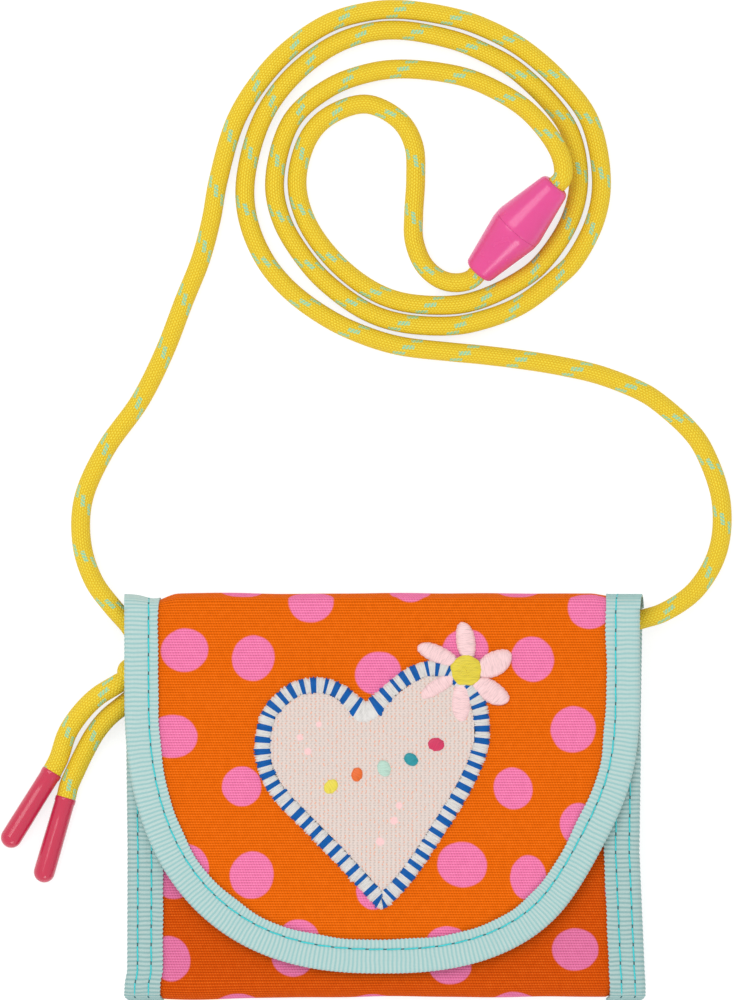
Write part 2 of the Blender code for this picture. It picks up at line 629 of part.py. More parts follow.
def clasp(materials, axis):
    """Two cones that meet at the widest place. A prong on one snaps into the other."""
    centre, to_plug = clasp_line()
    half = CLASP_LENGTH / 2
    face = LAYER_GAP / 2
    shell = [
        (half, CLASP_END_RADIUS - CLASP_ROUNDING),
        (half - CLASP_ROUNDING, CLASP_END_RADIUS),
        (face + CLASP_BELT, CLASP_RADIUS),
        (face, CLASP_RADIUS),
    ]
    bore = PRONG_RING_RADIUS + PRONG_CLEARANCE
    socket = [*shell, (face, bore), (face + PRONG_LENGTH + PRONG_CLEARANCE, bore)]
    turned("clasp_socket", centre, -to_plug, socket, materials["pink_plastic"])
    prong_end = face - PRONG_LENGTH
    ring_start = prong_end + PRONG_CLEARANCE
    plug = [
        *shell,
        (face, PRONG_RADIUS),
        (ring_start + PRONG_RING_LENGTH, PRONG_RADIUS),
        (ring_start + PRONG_RING_LENGTH, PRONG_RING_RADIUS),
        (ring_start, PRONG_RING_RADIUS),
        (prong_end, PRONG_RADIUS),
    ]
    hang([turned("clasp_plug", centre, to_plug, plug, materials["pink_plastic"])], axis)


def tips(materials):
    for name, start, end in (
        ("cord_tip_1", TIP_1_START, TIP_1_AIM),
        ("cord_tip_2", TIP_2_START, TIP_2_AIM),
    ):
        profile = [(0, TIP_RADIUS - TIP_MOUTH_ROUNDING), (TIP_MOUTH_ROUNDING, TIP_RADIUS)]
        for angle in np.linspace(0, 75, TIP_END_STEPS):
            turn = math.radians(angle)
            profile.append((
                TIP_LENGTH - TIP_RADIUS + TIP_RADIUS * math.sin(turn),
                TIP_RADIUS * math.cos(turn),
            ))
        along = (*aim(start, end), 0)
        turned(name, (*start, TIP_RADIUS), along, profile, materials["crimson_plastic"])


def knot(materials):
    across, up, deep = KNOT_HALF_SIZE
    rings = []
    for level in np.linspace(-80, 80, KNOT_RINGS):
        turn = math.radians(level)
        ring = []
        for angle in np.linspace(0, 2 * math.pi, KNOT_SIDES, endpoint=False):
            ring.append((
                KNOT_X + across * math.cos(turn) * math.cos(angle),
                KNOT_Y + up * math.cos(turn) * math.sin(angle),
                KNOT_Z + deep * math.sin(turn),
            ))
        rings.append(ring)
    skin("cord_knot", rings, materials["yellow_braid"], smooth=True)


def evenly(line, step, first_finer=0):
    """Points along a line, a step apart, with the first few steps halved."""
    travelled = np.concatenate([[0], np.cumsum(np.linalg.norm(np.diff(line, axis=0), axis=1))])
    count = max(2, round(travelled[-1] / step))
    places = np.linspace(0, travelled[-1], count + 1)
    halves = (places[:first_finer] + places[1:first_finer + 1]) / 2
    places = np.sort(np.concatenate([places, halves]))
    return np.stack([np.interp(places, travelled, line[:, i]) for i in range(3)], axis=1)


def lifted(route):
    return [(x, y, CORD_RADIUS + lift) for x, y, lift in route]


def from_clasp(side, route):
    """A cord's line that leaves an end of the clasp square to it, a gap clear of it."""
    centre, to_plug = clasp_line()
    meeting = centre + side * (CLASP_LENGTH / 2 + LAYER_GAP) * to_plug
    outside = centre + side * (CLASP_LENGTH / 2 + CORD_RADIUS) * to_plug
    step = CORD_STEP_DIAMETERS * CORD_DIAMETER
    line = evenly(smooth_line([outside, *route], ROUTE_STEPS), step, FINE_STEPS_AT_CLASP)
    return np.vstack([meeting, line])


def parted(line, steps):
    """Two lines from one, cut square across the middle of a step, a gap apart."""
    before = line[steps]
    after = line[steps + 1]
    middle = (before + after) / 2
    trim = LAYER_GAP / 2 * (after - before) / np.linalg.norm(after - before)
    return np.vstack([line[:steps + 1], middle - trim]), np.vstack([middle + trim, line[steps + 1:]])


def cord_lines():
    """The middle line of each stretch of cord, from its route."""
    knot_top = (KNOT_X - CORD_RADIUS / 2, KNOT_Y + KNOT_HALF_SIZE[1] + LAYER_GAP, KNOT_Z)
    left = from_clasp(1, [*lifted(LEFT_ROUTE), knot_top])
    lines = {"cord_right": from_clasp(-1, lifted(RIGHT_ROUTE))}
    lines["cord_end"], lines["cord_left"] = parted(left, CLASP_CORD_STEPS)
    for name, route in (("cord_tail_1", TAIL_1_ROUTE), ("cord_tail_2", TAIL_2_ROUTE)):
        lines[name] = evenly(smooth_line(lifted(route), ROUTE_STEPS), TAIL_STEP_DIAMETERS * CORD_DIAMETER)
    return lines


def cords(materials):
    lines = cord_lines()
    for name, line in lines.items():
        curve = bpy.data.curves.new(name, "CURVE")
        curve.dimensions = "3D"
        curve.bevel_depth = CORD_RADIUS
        curve.bevel_resolution = CORD_SIDES_RESOLUTION
        curve.use_fill_caps = True
        curve.twist_mode = "MINIMUM"
        spline = curve.splines.new("POLY")
        spline.points.add(len(line) - 1)
        for point, place in zip(spline.points, line):
            point.co = (*place, 1)
            point.radius = 1
        spline.use_smooth = True
        curve.materials.append(materials["yellow_braid"])
        bpy.context.scene.collection.objects.link(bpy.data.objects.new(name, curve))
    report_cords(lines)


def report_cords(lines):
    """Prints each stretch's length, and the least gap between strands that lie side by side."""
    dense = {name: evenly(line, CORD_RADIUS) for name, line in lines.items()}
    for name, line in lines.items():
        length = np.linalg.norm(np.diff(line, axis=0), axis=1).sum()
        print(f"{name}: {length:.4f} m long, {len(line)} points")
    skip = math.ceil(3 * CORD_DIAMETER / CORD_RADIUS)
    names = list(dense)
    for i, first in enumerate(names):
        for second in names[i:]:
            apart = np.linalg.norm(dense[first][:, None] - dense[second][None], axis=2)
            if first == second:
                rows, columns = np.indices(apart.shape)
                apart[abs(rows - columns) < skip] = math.inf
            elif {first, second} == {"cord_left", "cord_end"}:
                # These two meet end to end.
                apart[:skip, -skip:] = math.inf
                apart[-skip:, :skip] = math.inf
            place = np.unravel_index(apart.argmin(), apart.shape)
            where = dense[first][place[0]]
            gap = apart.min() - CORD_DIAMETER
            print(f"least gap {first} to {second}: {gap:.5f} m at {where[0]:.4f}, {where[1]:.4f}")


def empty(name, place):
    obj = bpy.data.objects.new(name, None)
    obj.location = place
    bpy.context.scene.collection.objects.link(obj)
    return obj


def hang(pieces, axis):
    """Puts pieces under an empty on their joint's axis, with their own origins there too."""
    bpy.context.view_layer.update()
    for piece in pieces:
        shift = axis.matrix_world.translation
        for vertex in piece.data.vertices:
            vertex.co -= shift
        piece.parent = axis


def main():
    clear_scene()
    materials = make_materials()
    fold_axis = empty("fold_axis", (0, FOLD_CLOTH_Y, FOLD_LOW_Z))
    flap_axis = empty("flap_axis", (0, FOLD_CLOTH_Y, FOLD_HIGH_Z))
    clasp_axis = empty("clasp_axis", clasp_line()[0])
    pouch_panels(materials)
    side_tapes(materials)
    mouth_tape(materials)
    card_pocket(materials)
    cord_channel(materials)
    top_fold(materials, fold_axis)
    flap(materials, flap_axis)
    heart_patch(materials, flap_axis)
    clasp(materials, clasp_axis)
    tips(materials)
    knot(materials)
    cords(materials)


main()
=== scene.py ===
"""Looks for the neck wallet: sewn cloth, ribbed tape, stitches, embroidery, braided cord and gloss.

Everything is in metres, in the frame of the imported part: the wallet lies on its back, with X across
it and Y up it.
"""

import math

import bpy
import numpy as np
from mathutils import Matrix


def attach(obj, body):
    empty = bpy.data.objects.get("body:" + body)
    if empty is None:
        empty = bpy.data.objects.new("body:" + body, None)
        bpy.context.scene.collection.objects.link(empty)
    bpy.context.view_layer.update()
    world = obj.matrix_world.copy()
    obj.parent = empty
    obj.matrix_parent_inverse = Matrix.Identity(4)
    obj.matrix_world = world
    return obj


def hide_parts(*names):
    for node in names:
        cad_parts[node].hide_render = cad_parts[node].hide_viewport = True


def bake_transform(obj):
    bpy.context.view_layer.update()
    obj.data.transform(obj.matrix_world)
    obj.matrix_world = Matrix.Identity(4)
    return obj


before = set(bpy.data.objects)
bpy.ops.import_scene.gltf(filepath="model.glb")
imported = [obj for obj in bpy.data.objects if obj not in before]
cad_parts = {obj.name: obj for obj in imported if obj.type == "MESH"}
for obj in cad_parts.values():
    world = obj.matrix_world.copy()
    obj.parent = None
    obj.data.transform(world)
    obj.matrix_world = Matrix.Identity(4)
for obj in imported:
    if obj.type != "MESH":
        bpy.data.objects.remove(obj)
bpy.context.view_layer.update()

MM = 0.001

# Photograph: 734 by 1000 pixels, a quarter of a millimetre each
PHOTO_SIZE = (734, 1000)
PIXEL = 0.25 * MM
ORIGIN_PIXEL = (384.5, 794.5)
CAMERA_LENS = 600
CAMERA_SENSOR = 36
CAMERA_LIFT = 7 * MM

# Layers of the closed wallet, as in the part
HALF_WIDTH = 65 * MM
BOTTOM_Y = -51 * MM
CLOTH = 0.8 * MM
LINING = 0.4 * MM
TAPE = 0.5 * MM
CLOTH_EDGE = 62.4 * MM
BACK_CLOTH_Z = 1.2 * MM
BACK_LINING_Z = 2.1 * MM
FRONT_LINING_Z = 8.9 * MM
FRONT_CLOTH_Z = 9.8 * MM
FRONT_TOP_Z = 11.0 * MM
FLAP_LOW_Z = 11.3 * MM
FLAP_LINING_Z = 12.3 * MM
FLAP_CLOTH_Z = 13.2 * MM
FLAP_TOP_Z = 14.4 * MM
FOLD_MIDDLE_Z = 5.5 * MM
BOTTOM_FOLD_Y = -45.5 * MM
MOUTH_Y = 10 * MM
LAYERS_END_Y = 46.5 * MM
SIDE_TAPE_WIDTH = 9.5 * MM
FLAP_TAPE_WIDTH = 8.5 * MM
MOUTH_TAPE_WIDTH = 7 * MM

# Top fold
CORNER_Y = 47.3 * MM
CORNER_Z = 2.9 * MM
CORNER_RADIUS = 1.7 * MM
FOLD_BULGE = 0.9 * MM
FOLD_REACH = 49.9 * MM
FOLD_DIP = 1.1 * MM
FOLD_SHOULDER = 0.7 * MM
FOLD_WAVE = 0.22 * MM
BEND_REACH = 2.4 * MM
BEND_RISE = 4 * MM
# For each half of the fold, two bodies and the ends of a bend between them
FOLD_BENDS = {
    "low": ("pouch", "fold", (0, LAYERS_END_Y, BACK_CLOTH_Z),
            (0, LAYERS_END_Y + BEND_REACH, BACK_CLOTH_Z + BEND_RISE)),
    "high": ("fold", "flap", (0, LAYERS_END_Y + BEND_REACH, FLAP_CLOTH_Z - BEND_RISE),
             (0, LAYERS_END_Y, FLAP_CLOTH_Z)),
}
TAPE_OUT = 0.65 * MM
TAPE_OFFSET = 0.95 * MM
LINING_OFFSET = -0.9 * MM

# Flap outline
FLAP_HALF_WIDTH = 64.4 * MM
FLAP_MIDDLE_X = -0.6 * MM
FLAP_PULL = 2.6 * MM
FLAP_CURVE_Y = 26.2 * MM
FLAP_CURVE_HEIGHT = 70.8 * MM
FLAP_CURVE_POWER = 2.42

# Soft forms: how far the cloth puffs up, the crease beside the heart and the bottom fold's waves
FLAP_PUFF = 0.45 * MM
FLAP_SWELL = 0.22 * MM
CREASE_MIDDLE = (41 * MM, 0.5 * MM)
CREASE_SIZE = (11 * MM, 24 * MM)
CREASE_PITCH = 2.6 * MM
CREASE_DEPTH = 0.16 * MM
FRONT_PUFF = 0.25 * MM
FRONT_PUFF_HALF_WIDTH = 56 * MM
BOTTOM_BOW = 1.1
BOTTOM_SAG = 0.75 * MM
BOTTOM_TUCK = 0.9 * MM
MOUTH_CLOTH_Y = MOUTH_Y - 0.8 * MM
CLOTH_RIB = 0.66 * MM
LINING_RIB = 0.42 * MM
LINING_WARP = 0.38 * MM

# Tape and its stitches
RIB_PITCH = 1.12 * MM
RIB_DEPTH = 0.07 * MM
RIB_SCALLOP = 0.13 * MM
STITCH_PITCH = 4.6 * MM
STITCH_RADIUS = 0.2 * MM
HOLE_LENGTH = 1.0 * MM
HOLE_EDGE = (0.26 * MM, 0.14 * MM)
TAPE_THREAD_PITCH = 0.34 * MM
STITCH_DIP = 0.16 * MM
SEAM_DIP_WIDTH = 0.55 * MM
SEAM_RISE_WIDTH = 0.7 * MM
SEAM_RISE_INSET = 1.5 * MM
FLAP_STITCH_INSET = 6.1 * MM
MOUTH_STITCH_INSET = 5 * MM
TAPE_WOBBLE = 0.13 * MM
SIDE_STITCH_INSETS = (2.6 * MM, 6.0 * MM)

SIDE_TAPE_BOTTOM = -51.2 * MM
SIDE_TAPE_LOW_TOP = 3.1 * MM

# Outer edge of each side binding: its place across at given places up the wallet
SIDE_EDGE_Y = (-52 * MM, -47 * MM, -44 * MM, -14 * MM, 20 * MM, 46 * MM)
SIDE_EDGE_X = {
    -1: (65.2 * MM, 64.9 * MM, 64.3 * MM, 64.2 * MM, 64.6 * MM, 65.0 * MM),
    1: (65.3 * MM, 65.2 * MM, 65.0 * MM, 63.7 * MM, 64.2 * MM, 64.6 * MM),
}
TAPE_CORNER = 1.4 * MM

# Heart patch, flower and the row of stitched spots
HEART_MIDDLE = (-3.2 * MM, 2.5 * MM)
HEART_SIZE = (58.2 * MM, 61.8 * MM)
LEFT_LOBE_SHARES = [
    (-0.024, 0.334), (-0.127, 0.403), (-0.212, 0.431), (-0.324, 0.419), (-0.410, 0.366),
    (-0.470, 0.294), (-0.500, 0.152), (-0.479, 0.043), (-0.423, -0.051), (-0.311, -0.164),
    (-0.182, -0.285), (-0.045, -0.423), (0.041, -0.500),
]
RIGHT_LOBE_SHARES = [
    (0.041, -0.500), (0.122, -0.440), (0.208, -0.342), (0.307, -0.200), (0.406, -0.051),
    (0.487, 0.115), (0.504, 0.225), (0.483, 0.342), (0.414, 0.431), (0.328, 0.488),
    (0.251, 0.500), (0.152, 0.468), (0.084, 0.423), (-0.024, 0.334),
]
BORDER_WIDTH = 4 * MM
NOTCH_PIXEL = (365, 702)
NOTCH_FILL = 1.4 * MM
NOTCH_REACH = 3.2 * MM
TIP_SMOOTHING = 30
TIP_REACH = 4.5 * MM
TIP_DROP = 0.9 * MM
BAR_PITCH = 3.25 * MM
BAR_STEPS = 20
BLUE_SHARE = 0.4
THREAD_PITCH = 0.33 * MM
SATIN_JITTER_OUT = 0.15 * MM
SATIN_JITTER_IN = 0.19 * MM
SATIN_RIDGE = 0.10 * MM
PATCH_LOW_Z = 13.6 * MM
FIELD_Z = 14.25 * MM
FIELD_ROW_PITCH = 1.05 * MM
FIELD_STITCH_PITCH = 0.62 * MM
FIELD_SWAY_PITCH = 1.25 * MM
FIELD_SWAY = 0.28 * MM
FIELD_SPECKS = [
    # place in the photograph, radius
    ((319, 724), 0.9 * MM), ((300, 737), 1.0 * MM), ((308, 751), 1.1 * MM),
    ((399, 805), 1.0 * MM), ((394, 820), 1.2 * MM), ((380, 841), 1.3 * MM),
]
BORDER_TOP_Z = 14.9 * MM
FLOWER_MIDDLE = (20.4 * MM, 31.1 * MM)
PETALS = [
    # direction in degrees, reach, length, breadth
    (13, 11.6 * MM, 9.0 * MM, 6.4 * MM),
    (91, 11.9 * MM, 9.2 * MM, 4.9 * MM),
    (151, 13.4 * MM, 10.4 * MM, 4.5 * MM),
    (209, 13.0 * MM, 10.0 * MM, 4.0 * MM),
    (261, 12.7 * MM, 9.6 * MM, 5.3 * MM),
    (319, 12.8 * MM, 9.8 * MM, 5.6 * MM),
]
FLOWER_TOP_Z = 15.2 * MM
FLOWER_CENTRE_RADIUS = 3.9 * MM
FLOWER_CENTRE_Z = 14.6 * MM
FLOWER_CENTRE_DOME = 1.0 * MM
SPOTS = [
    # place in the photograph, radius, colour
    ((331, 786), 1.9 * MM, "spot_yellow"),
    ((357, 774), 1.7 * MM, "spot_orange"),
    ((384, 768), 2.0 * MM, "spot_mint"),
    ((411, 759), 1.8 * MM, "spot_teal"),
    ((436, 744), 2.0 * MM, "spot_crimson"),
]

# Pink print: place in the photograph, half width, half height and turn in degrees
FLAP_DOTS = [
    ((185, 650), 23.5, 21.5, 10), ((253.5, 658), 21, 22.5, -15), ((311, 601), 22.5, 21, 0),
    ((378, 673), 23, 21, 20), ((173, 736), 24.5, 21.5, 0), ((242, 786), 19.5, 19.5, 0),
    ((190, 865), 18.5, 22, 25), ((252, 874.5), 21.6, 23.3, -15), ((299, 937), 19.5, 18, 0),
    ((242, 577), 20, 19, 0), ((410, 583), 20, 19.5, 0), ((374, 890), 17.5, 19, 0),
    ((518, 576), 20, 19, 0), ((590, 607), 22.5, 21, 20), ((465, 650), 23, 21, 15),
    ((532, 659), 21, 22.5, 15), ((573, 729), 22, 23, -20), ((513, 788), 19, 21, 20),
    ((578, 823.5), 18, 21, 0), ((462, 864), 24.7, 22.4, -15), ((528, 877), 18, 22, 0),
    ((446.5, 940), 19.5, 14.4, 0),
]
FRONT_DOTS = [
    ((174, 876), 20, 22.5, 0), ((170, 958), 20, 22.5, 20), ((293, 955), 21.5, 21, 0),
    ((237, 1010), 21, 17, 0), ((450, 966), 21, 17.5, 0), ((575, 949), 23, 21, 0),
    ((513, 1009), 20, 17, 0), ((372, 1016), 21, 20, 0), ((625, 890), 20, 20, 0),
    ((340, 900), 21, 20, 0), ((255, 905), 20, 22, 0), ((420, 905), 21, 20, 0),
    ((520, 900), 20, 22, 0),
]
BACK_DOT_PITCH = (17.5 * MM, 15.5 * MM)
BACK_DOT_RADIUS = 5.3 * MM
FOLD_DOTS_Y = 66 * MM
PRINT_WOBBLE = 0.5 * MM
PRINT_WOBBLE_SIZE = 5 * MM
DOT_EDGE = (1.045, 0.965)

# Cord
CORD_DIAMETER = 4.6 * MM
CORD_RADIUS = CORD_DIAMETER / 2
CORD_RING_STEP = 0.45 * MM
CORD_SIDES = 32
BRAID_PITCH = 1.5 * MM
BRAID_STRANDS = 8
BRAID_DEPTH = 0.03 * MM
PLUMP = 0.1 * MM
TAIL_PLUMP = 0.16 * MM
TAIL_LENGTH = 30 * MM
TAIL_EASE = 6 * MM
CORD_END_RADIUS = 0.05 * MM
CORD_IN_CLASP = 1.2 * MM
AT_PLUG_LENGTH = 37.5 * MM
CELL_COLUMNS = 24
CELL_LENGTH = 0.86 * MM
FLECK_PITCH = 14.2 * MM
FLECK_STEPS = 7
FLECK_LENGTH = 3.0 * MM
LAYER_GAP = 0.3 * MM
# Routes in millimetres: across, up the wallet, and how far the cord is off the table
LEFT_ROUTE = [
    (44.6, 157.4, 7.5), (43.1, 161.7, 6.4), (38.7, 168, 3.9), (33.5, 172.8, 1.8),
    (23.9, 178.1, 0.2), (16.4, 180.3), (3.9, 181.5), (-4.4, 180.4), (-13.8, 176.8), (-23.2, 168.6),
    (-27.5, 153.6), (-25.7, 143.6), (-19.7, 133.6), (-13.9, 127.4), (-4.6, 120.9), (3.9, 118),
    (16.4, 117.2), (24, 118.5), (34.1, 122.4), (43.9, 129.9), (47.5, 133.6), (52.7, 143.6),
    (54.3, 153.6), (51.3, 168.6), (44.2, 178.2), (34.2, 186.9), (24.1, 192.2), (16.4, 194.6),
    (3.9, 196.4), (-4.4, 195.8), (-13.7, 193.1), (-23.7, 186.5), (-31, 178.7), (-37.2, 168.6),
    (-41.6, 153.6), (-43.4, 143.6), (-46.1, 133.6), (-50.1, 123.6), (-54.9, 111.1), (-61.1, 98.6),
    (-69.9, 86.1), (-75.4, 73.6), (-75.7, 62.5, 0.6), (-72.8, 53.5, 1.6), (-68, 46.9, 3.4),
    (-64, 42.4, 4.5), (-62, 39.3, 4.8),
]
RIGHT_ROUTE = [
    (17.6, 128, 0.4), (13.6, 129.1), (9.7, 132.7), (7.4, 138.7), (7.3, 145), (7.8, 154),
    (7.3, 162.5), (3.8, 168.6), (-4.4, 172.7), (-13.5, 170), (-18.9, 164.5), (-21.9, 153.6),
    (-19.7, 143.7), (-13, 134), (-4.3, 126.8), (4, 123.3), (16.4, 122.4), (23.8, 123.8),
    (33.7, 128.5), (39.3, 132.9), (46.3, 143.4), (48.6, 153.7), (45.9, 166.8), (33.6, 180.6),
    (23.8, 186.2), (16.3, 189), (3.9, 191.2), (-4.4, 190.5), (-13.6, 187), (-24, 178.7),
    (-30.8, 168.6), (-34.8, 153.6), (-34.1, 143.6), (-29.9, 133.6), (-23.6, 126), (-13.6, 118.8),
    (-4.4, 114.6), (3.9, 112.2), (16.4, 110.7), (23.9, 110), (33.9, 108.8), (43.9, 107.2),
    (53.9, 104.9), (63.9, 101), (67.9, 98.6), (76.4, 91.1), (79.9, 86.1), (84.2, 73.6),
    (83.5, 61.1, 0.2), (77.9, 51.2, 1.4), (69.9, 45.6, 3.4), (65.1, 44, 3.9), (59, 42.4, 4),
    (53, 41.3, 3.4), (47, 41, 2.7), (30, 41, 2.6), (0, 41, 2.6), (-30, 41, 2.6), (-44, 41, 2.8),
    (-50, 39.6, 4), (-53.7, 36.6, 4.9),
]
TAIL_1_ROUTE = [
    (-66.8, 27.6, 6), (-71.8, 24.5, 5), (-76.1, 20.2, 3), (-79.4, 15.2, 1.2), (-81.5, 9, 0.5),
    (-82.9, 6.2, 0.4),
]
TAIL_2_ROUTE = [
    (-63.4, 24, 3.7), (-65.6, 22.2, 3.6), (-69.2, 19.2, 2.6), (-72.4, 15.3, 1.2), (-75, 10.7, 0.5),
    (-77.2, 6.1, 0.4), (-79, 2, 0.4), (-79.6, -0.5, 0.4),
]
KNOT_MIDDLE = (-61.3 * MM, 29.6 * MM, 7.2 * MM)
KNOT_HALF_SIZE = (5.8 * MM, 5.6 * MM, 3.7 * MM)
KNOT_CORD_RADIUS = 2.0 * MM
TREFOIL_SPAN = 3
LEFT_KNOT_IN = [(-61.2 * MM, 34 * MM, 7.2 * MM), (-62.2 * MM, 30.6 * MM, 7.6 * MM)]
RIGHT_KNOT_IN = [(-57.2 * MM, 32.6 * MM, 7.2 * MM), (-59.6 * MM, 28.0 * MM, 6.6 * MM)]
INSIDE_TIP_1 = (-84.6 * MM, 3.3 * MM)
INSIDE_TIP_2 = (-80.4 * MM, -3.2 * MM)

# Clasp and tips
CLASP_LENGTH = 30 * MM
CLASP_RADIUS = 6.6 * MM
CLASP_END_RADIUS = 3.8 * MM
CLASP_BELT = 1.0 * MM
CLASP_LIP = 0.13 * MM
CLASP_SOCKET_END = (23.3 * MM, 130.6 * MM)
CLASP_PLUG_END = (42.9 * MM, 152.4 * MM)
PRONG_RADIUS = 2.8 * MM
PRONG_RING_RADIUS = 3.1 * MM
PRONG_LENGTH = 4.6 * MM
BORE_RADIUS = 3.5 * MM
TIP_RADIUS = 2.65 * MM
TIP_LENGTH = 22.1 * MM
TIP_STARTS = ((-83.1 * MM, 5.7 * MM), (-79.7 * MM, -0.8 * MM))
TIP_AIMS = ((-94.8 * MM, -13.1 * MM), (-85.9 * MM, -22.1 * MM))
TURNED_SIDES = 72

# Card pocket, cord channel and the hook and loop pads
POCKET_BOTTOM_Y = BOTTOM_Y + 8 * MM
POCKET_TOP_Y = POCKET_BOTTOM_Y + 73 * MM
POCKET_X = (-53.5 * MM, 53.5 * MM)
POCKET_Z = 2.8 * MM
HEM_WIDTH = 6 * MM
HEM_Z = 3.5 * MM
CHANNEL_Y = 41 * MM
CHANNEL_X = (-34 * MM, 37 * MM)
CHANNEL_Z = 2.8 * MM
CHANNEL_CORD_Z = CORD_RADIUS + 2.6 * MM
CHANNEL_MARGIN = 2.2 * MM
PAD_X = (-20 * MM, 20 * MM)
PAD_Y = (BOTTOM_Y + 18 * MM, BOTTOM_Y + 36 * MM)

# Stage, in metres: the floor looks lighter to the camera than it is to the lamps
FLOOR_REACH = 3.0
FLOOR_WHITE = (0.9, 0.9, 0.9)
FLOOR_SEEN_GREY = (0.34, 0.34, 0.34)
FLOOR_GLOW = 0.75
WORLD_STRENGTH = 0.84
LAMPS = [
    # name, place, size, power
    ("key", (-0.45, 0.55, 1.25), 0.9, 6.0),
    ("fill", (0.12, -1.15, 0.75), 0.5, 3.0),
]
LAMP_AIM = (0, 0.05, 0)

# Colours, red, green and blue out of 255
ORANGE = (232, 100, 0)
# Paler orange for specks on the print's raised threads: painted highlight
ORANGE_HIGHLIGHT = (250, 136, 44)
# Darker, redder orange for the pouch's cloth: painted shade under the flap
ORANGE_PAINTED_SHADE = (223, 81, 0)
PRINT_PINK = (241, 120, 170)
# Paler pink for specks on the dots' raised threads: painted highlight
PINK_HIGHLIGHT = (252, 162, 200)
MINT_LIGHT = (194, 212, 207)
# Mint in the grooves between a tape's ribs: painted shade
MINT_GROOVE_SHADE = (148, 191, 190)
MINT_PATCHES = (160, 200, 198)
# Mint between a tape's threads: painted shade
MINT_SHADE = (122, 168, 170)
TURQUOISE = (66, 208, 212)
HOLE_DARK = (50, 104, 110)
CREAM = (221, 205, 197)
PEEP_ORANGE = (242, 150, 105)
SPECK_PINK = (250, 198, 200)
WHITE_THREAD = (222, 219, 216)
BLUE_THREAD = (0, 92, 172)
PETAL = (250, 211, 212)
FLOWER_YELLOW = (226, 205, 50)
CORD_YELLOW = (240, 214, 64)
# Warm yellow between the braid's cells: painted shade
CORD_GROOVE_SHADE = (234, 186, 12)
CORD_PATCHES = (240, 208, 60)
FLECK_MINT = (150, 218, 178)
LINING_ORANGE = (246, 150, 60)
HOOK_WHITE = (226, 226, 216)
LOOP_WHITE = (238, 238, 228)
CLASP_PINK = (228, 70, 146)
TIP_CRIMSON = (204, 42, 78)
SPOT_COLOURS = {
    "spot_yellow": (238, 220, 70),
    "spot_orange": (236, 104, 20),
    "spot_mint": (186, 220, 204),
    "spot_teal": (10, 148, 160),
    "spot_crimson": (214, 40, 92),
}


def photo_place(pixel):
    """A place on the wallet from its pixel in the photograph."""
    return (pixel[0] - ORIGIN_PIXEL[0]) * PIXEL, (ORIGIN_PIXEL[1] - pixel[1]) * PIXEL


def linear(colour, share=1.0):
    """A colour out of 255, darkened to a share of it, as Blender's linear colour."""
    channels = np.array(colour) * share / 255
    channels = np.where(channels <= 0.04045, channels / 12.92, ((channels + 0.055) / 1.055) ** 2.4)
    return (*channels, 1)


# Materials


class Value:
    """What a node gives out. Arithmetic with it adds the nodes that work it out."""

    def __init__(self, looks, socket):
        self.looks = looks
        self.socket = socket

    def __add__(self, other):
        return self.looks.math("ADD", self, other)

    def __sub__(self, other):
        return self.looks.math("SUBTRACT", self, other)

    def __rsub__(self, other):
        return self.looks.math("SUBTRACT", other, self)

    def __mul__(self, other):
        return self.looks.math("MULTIPLY", self, other)

    def __truediv__(self, other):
        return self.looks.math("DIVIDE", self, other)

    def __abs__(self):
        return self.looks.math("ABSOLUTE", self)

    def floor(self):
        return self.looks.math("FLOOR", self)

    def fraction(self):
        return self.looks.math("FRACT", self)


class Looks:
    """A material and short calls that add nodes to it."""

    def __init__(self, name, roughness=0.8):
        self.material = bpy.data.materials.new(name)
        self.material.use_nodes = True
        self.tree = self.material.node_tree
        self.shader = self.tree.nodes["Principled BSDF"]
        self.apply("Roughness", roughness)

    def put(self, socket, value):
        if isinstance(value, Value):
            self.tree.links.new(value.socket, socket)
        else:
            socket.default_value = value

    def apply(self, name, value):
        """Sets or links one of the shader's inputs."""
        self.put(self.shader.inputs[name], value)

    def node(self, kind, inputs, output, **settings):
        """Adds a node with these settings and inputs, and gives one of its outputs."""
        node = self.tree.nodes.new(f"ShaderNode{kind}")
        for setting, value in settings.items():
            setattr(node, setting, value)
        for name, value in inputs.items():
            self.put(node.inputs[name], value)
        return Value(self, node.outputs[output])

    def math(self, operation, *values):
        return self.node("Math", dict(enumerate(values)), 0, operation=operation)

    def vector(self, operation, *values):
        output = "Value" if operation == "LENGTH" else "Vector"
        return self.node("VectorMath", dict(enumerate(values)), output, operation=operation)

    def flat(self):
        """The point's place on the flat cloth, tape or cord."""
        return self.node("Attribute", {}, "Vector", attribute_name="flat")

    def split(self, vector):
        return [self.node("SeparateXYZ", {0: vector}, axis) for axis in "XY"]

    def noise(self, vector, size, detail=2.0, output="Fac"):
        """Noise from 0 to 1 with features of the given size."""
        inputs = {"Vector": vector, "Scale": 1 / size, "Detail": detail}
        return self.node("TexNoise", inputs, output)

    def mix(self, factor, first, second):
        inputs = {"Factor": factor, "A": first, "B": second}
        return self.node("Mix", inputs, "Result", data_type="RGBA")

    def smooth_step(self, value, low, high):
        inputs = {"Value": value, "From Min": low, "From Max": high}
        return self.node("MapRange", inputs, "Result", interpolation_type="SMOOTHSTEP")

    def wave(self, value, pitch):
        """A sine from 0 to 1 that repeats once a pitch."""
        return self.math("SINE", value * (2 * math.pi / pitch)) * 0.5 + 0.5

    def bump(self, height, distance):
        self.apply("Normal", self.node("Bump", {"Distance": distance, "Height": height}, "Normal"))

    def sheen(self, weight, roughness=0.5):
        self.apply("Sheen Weight", weight)
        self.apply("Sheen Roughness", roughness)

    def vary_roughness(self, vector, size, low, high):
        self.apply("Roughness", self.noise(vector, size) * (high - low) + low)


def weave(looks, flat, rib=CLOTH_RIB, warp=CLOTH_RIB):
    """Height from 0 to 1 of a fine cross-ribbed weave."""
    x, y = looks.split(flat)
    threads = looks.wave((y / rib).floor() * (warp / 3) + x, warp)
    uneven = looks.noise(flat, 1.6 * MM, 3)
    return uneven * 0.3 + (threads * 0.26 + looks.wave(y, rib) * 0.56)


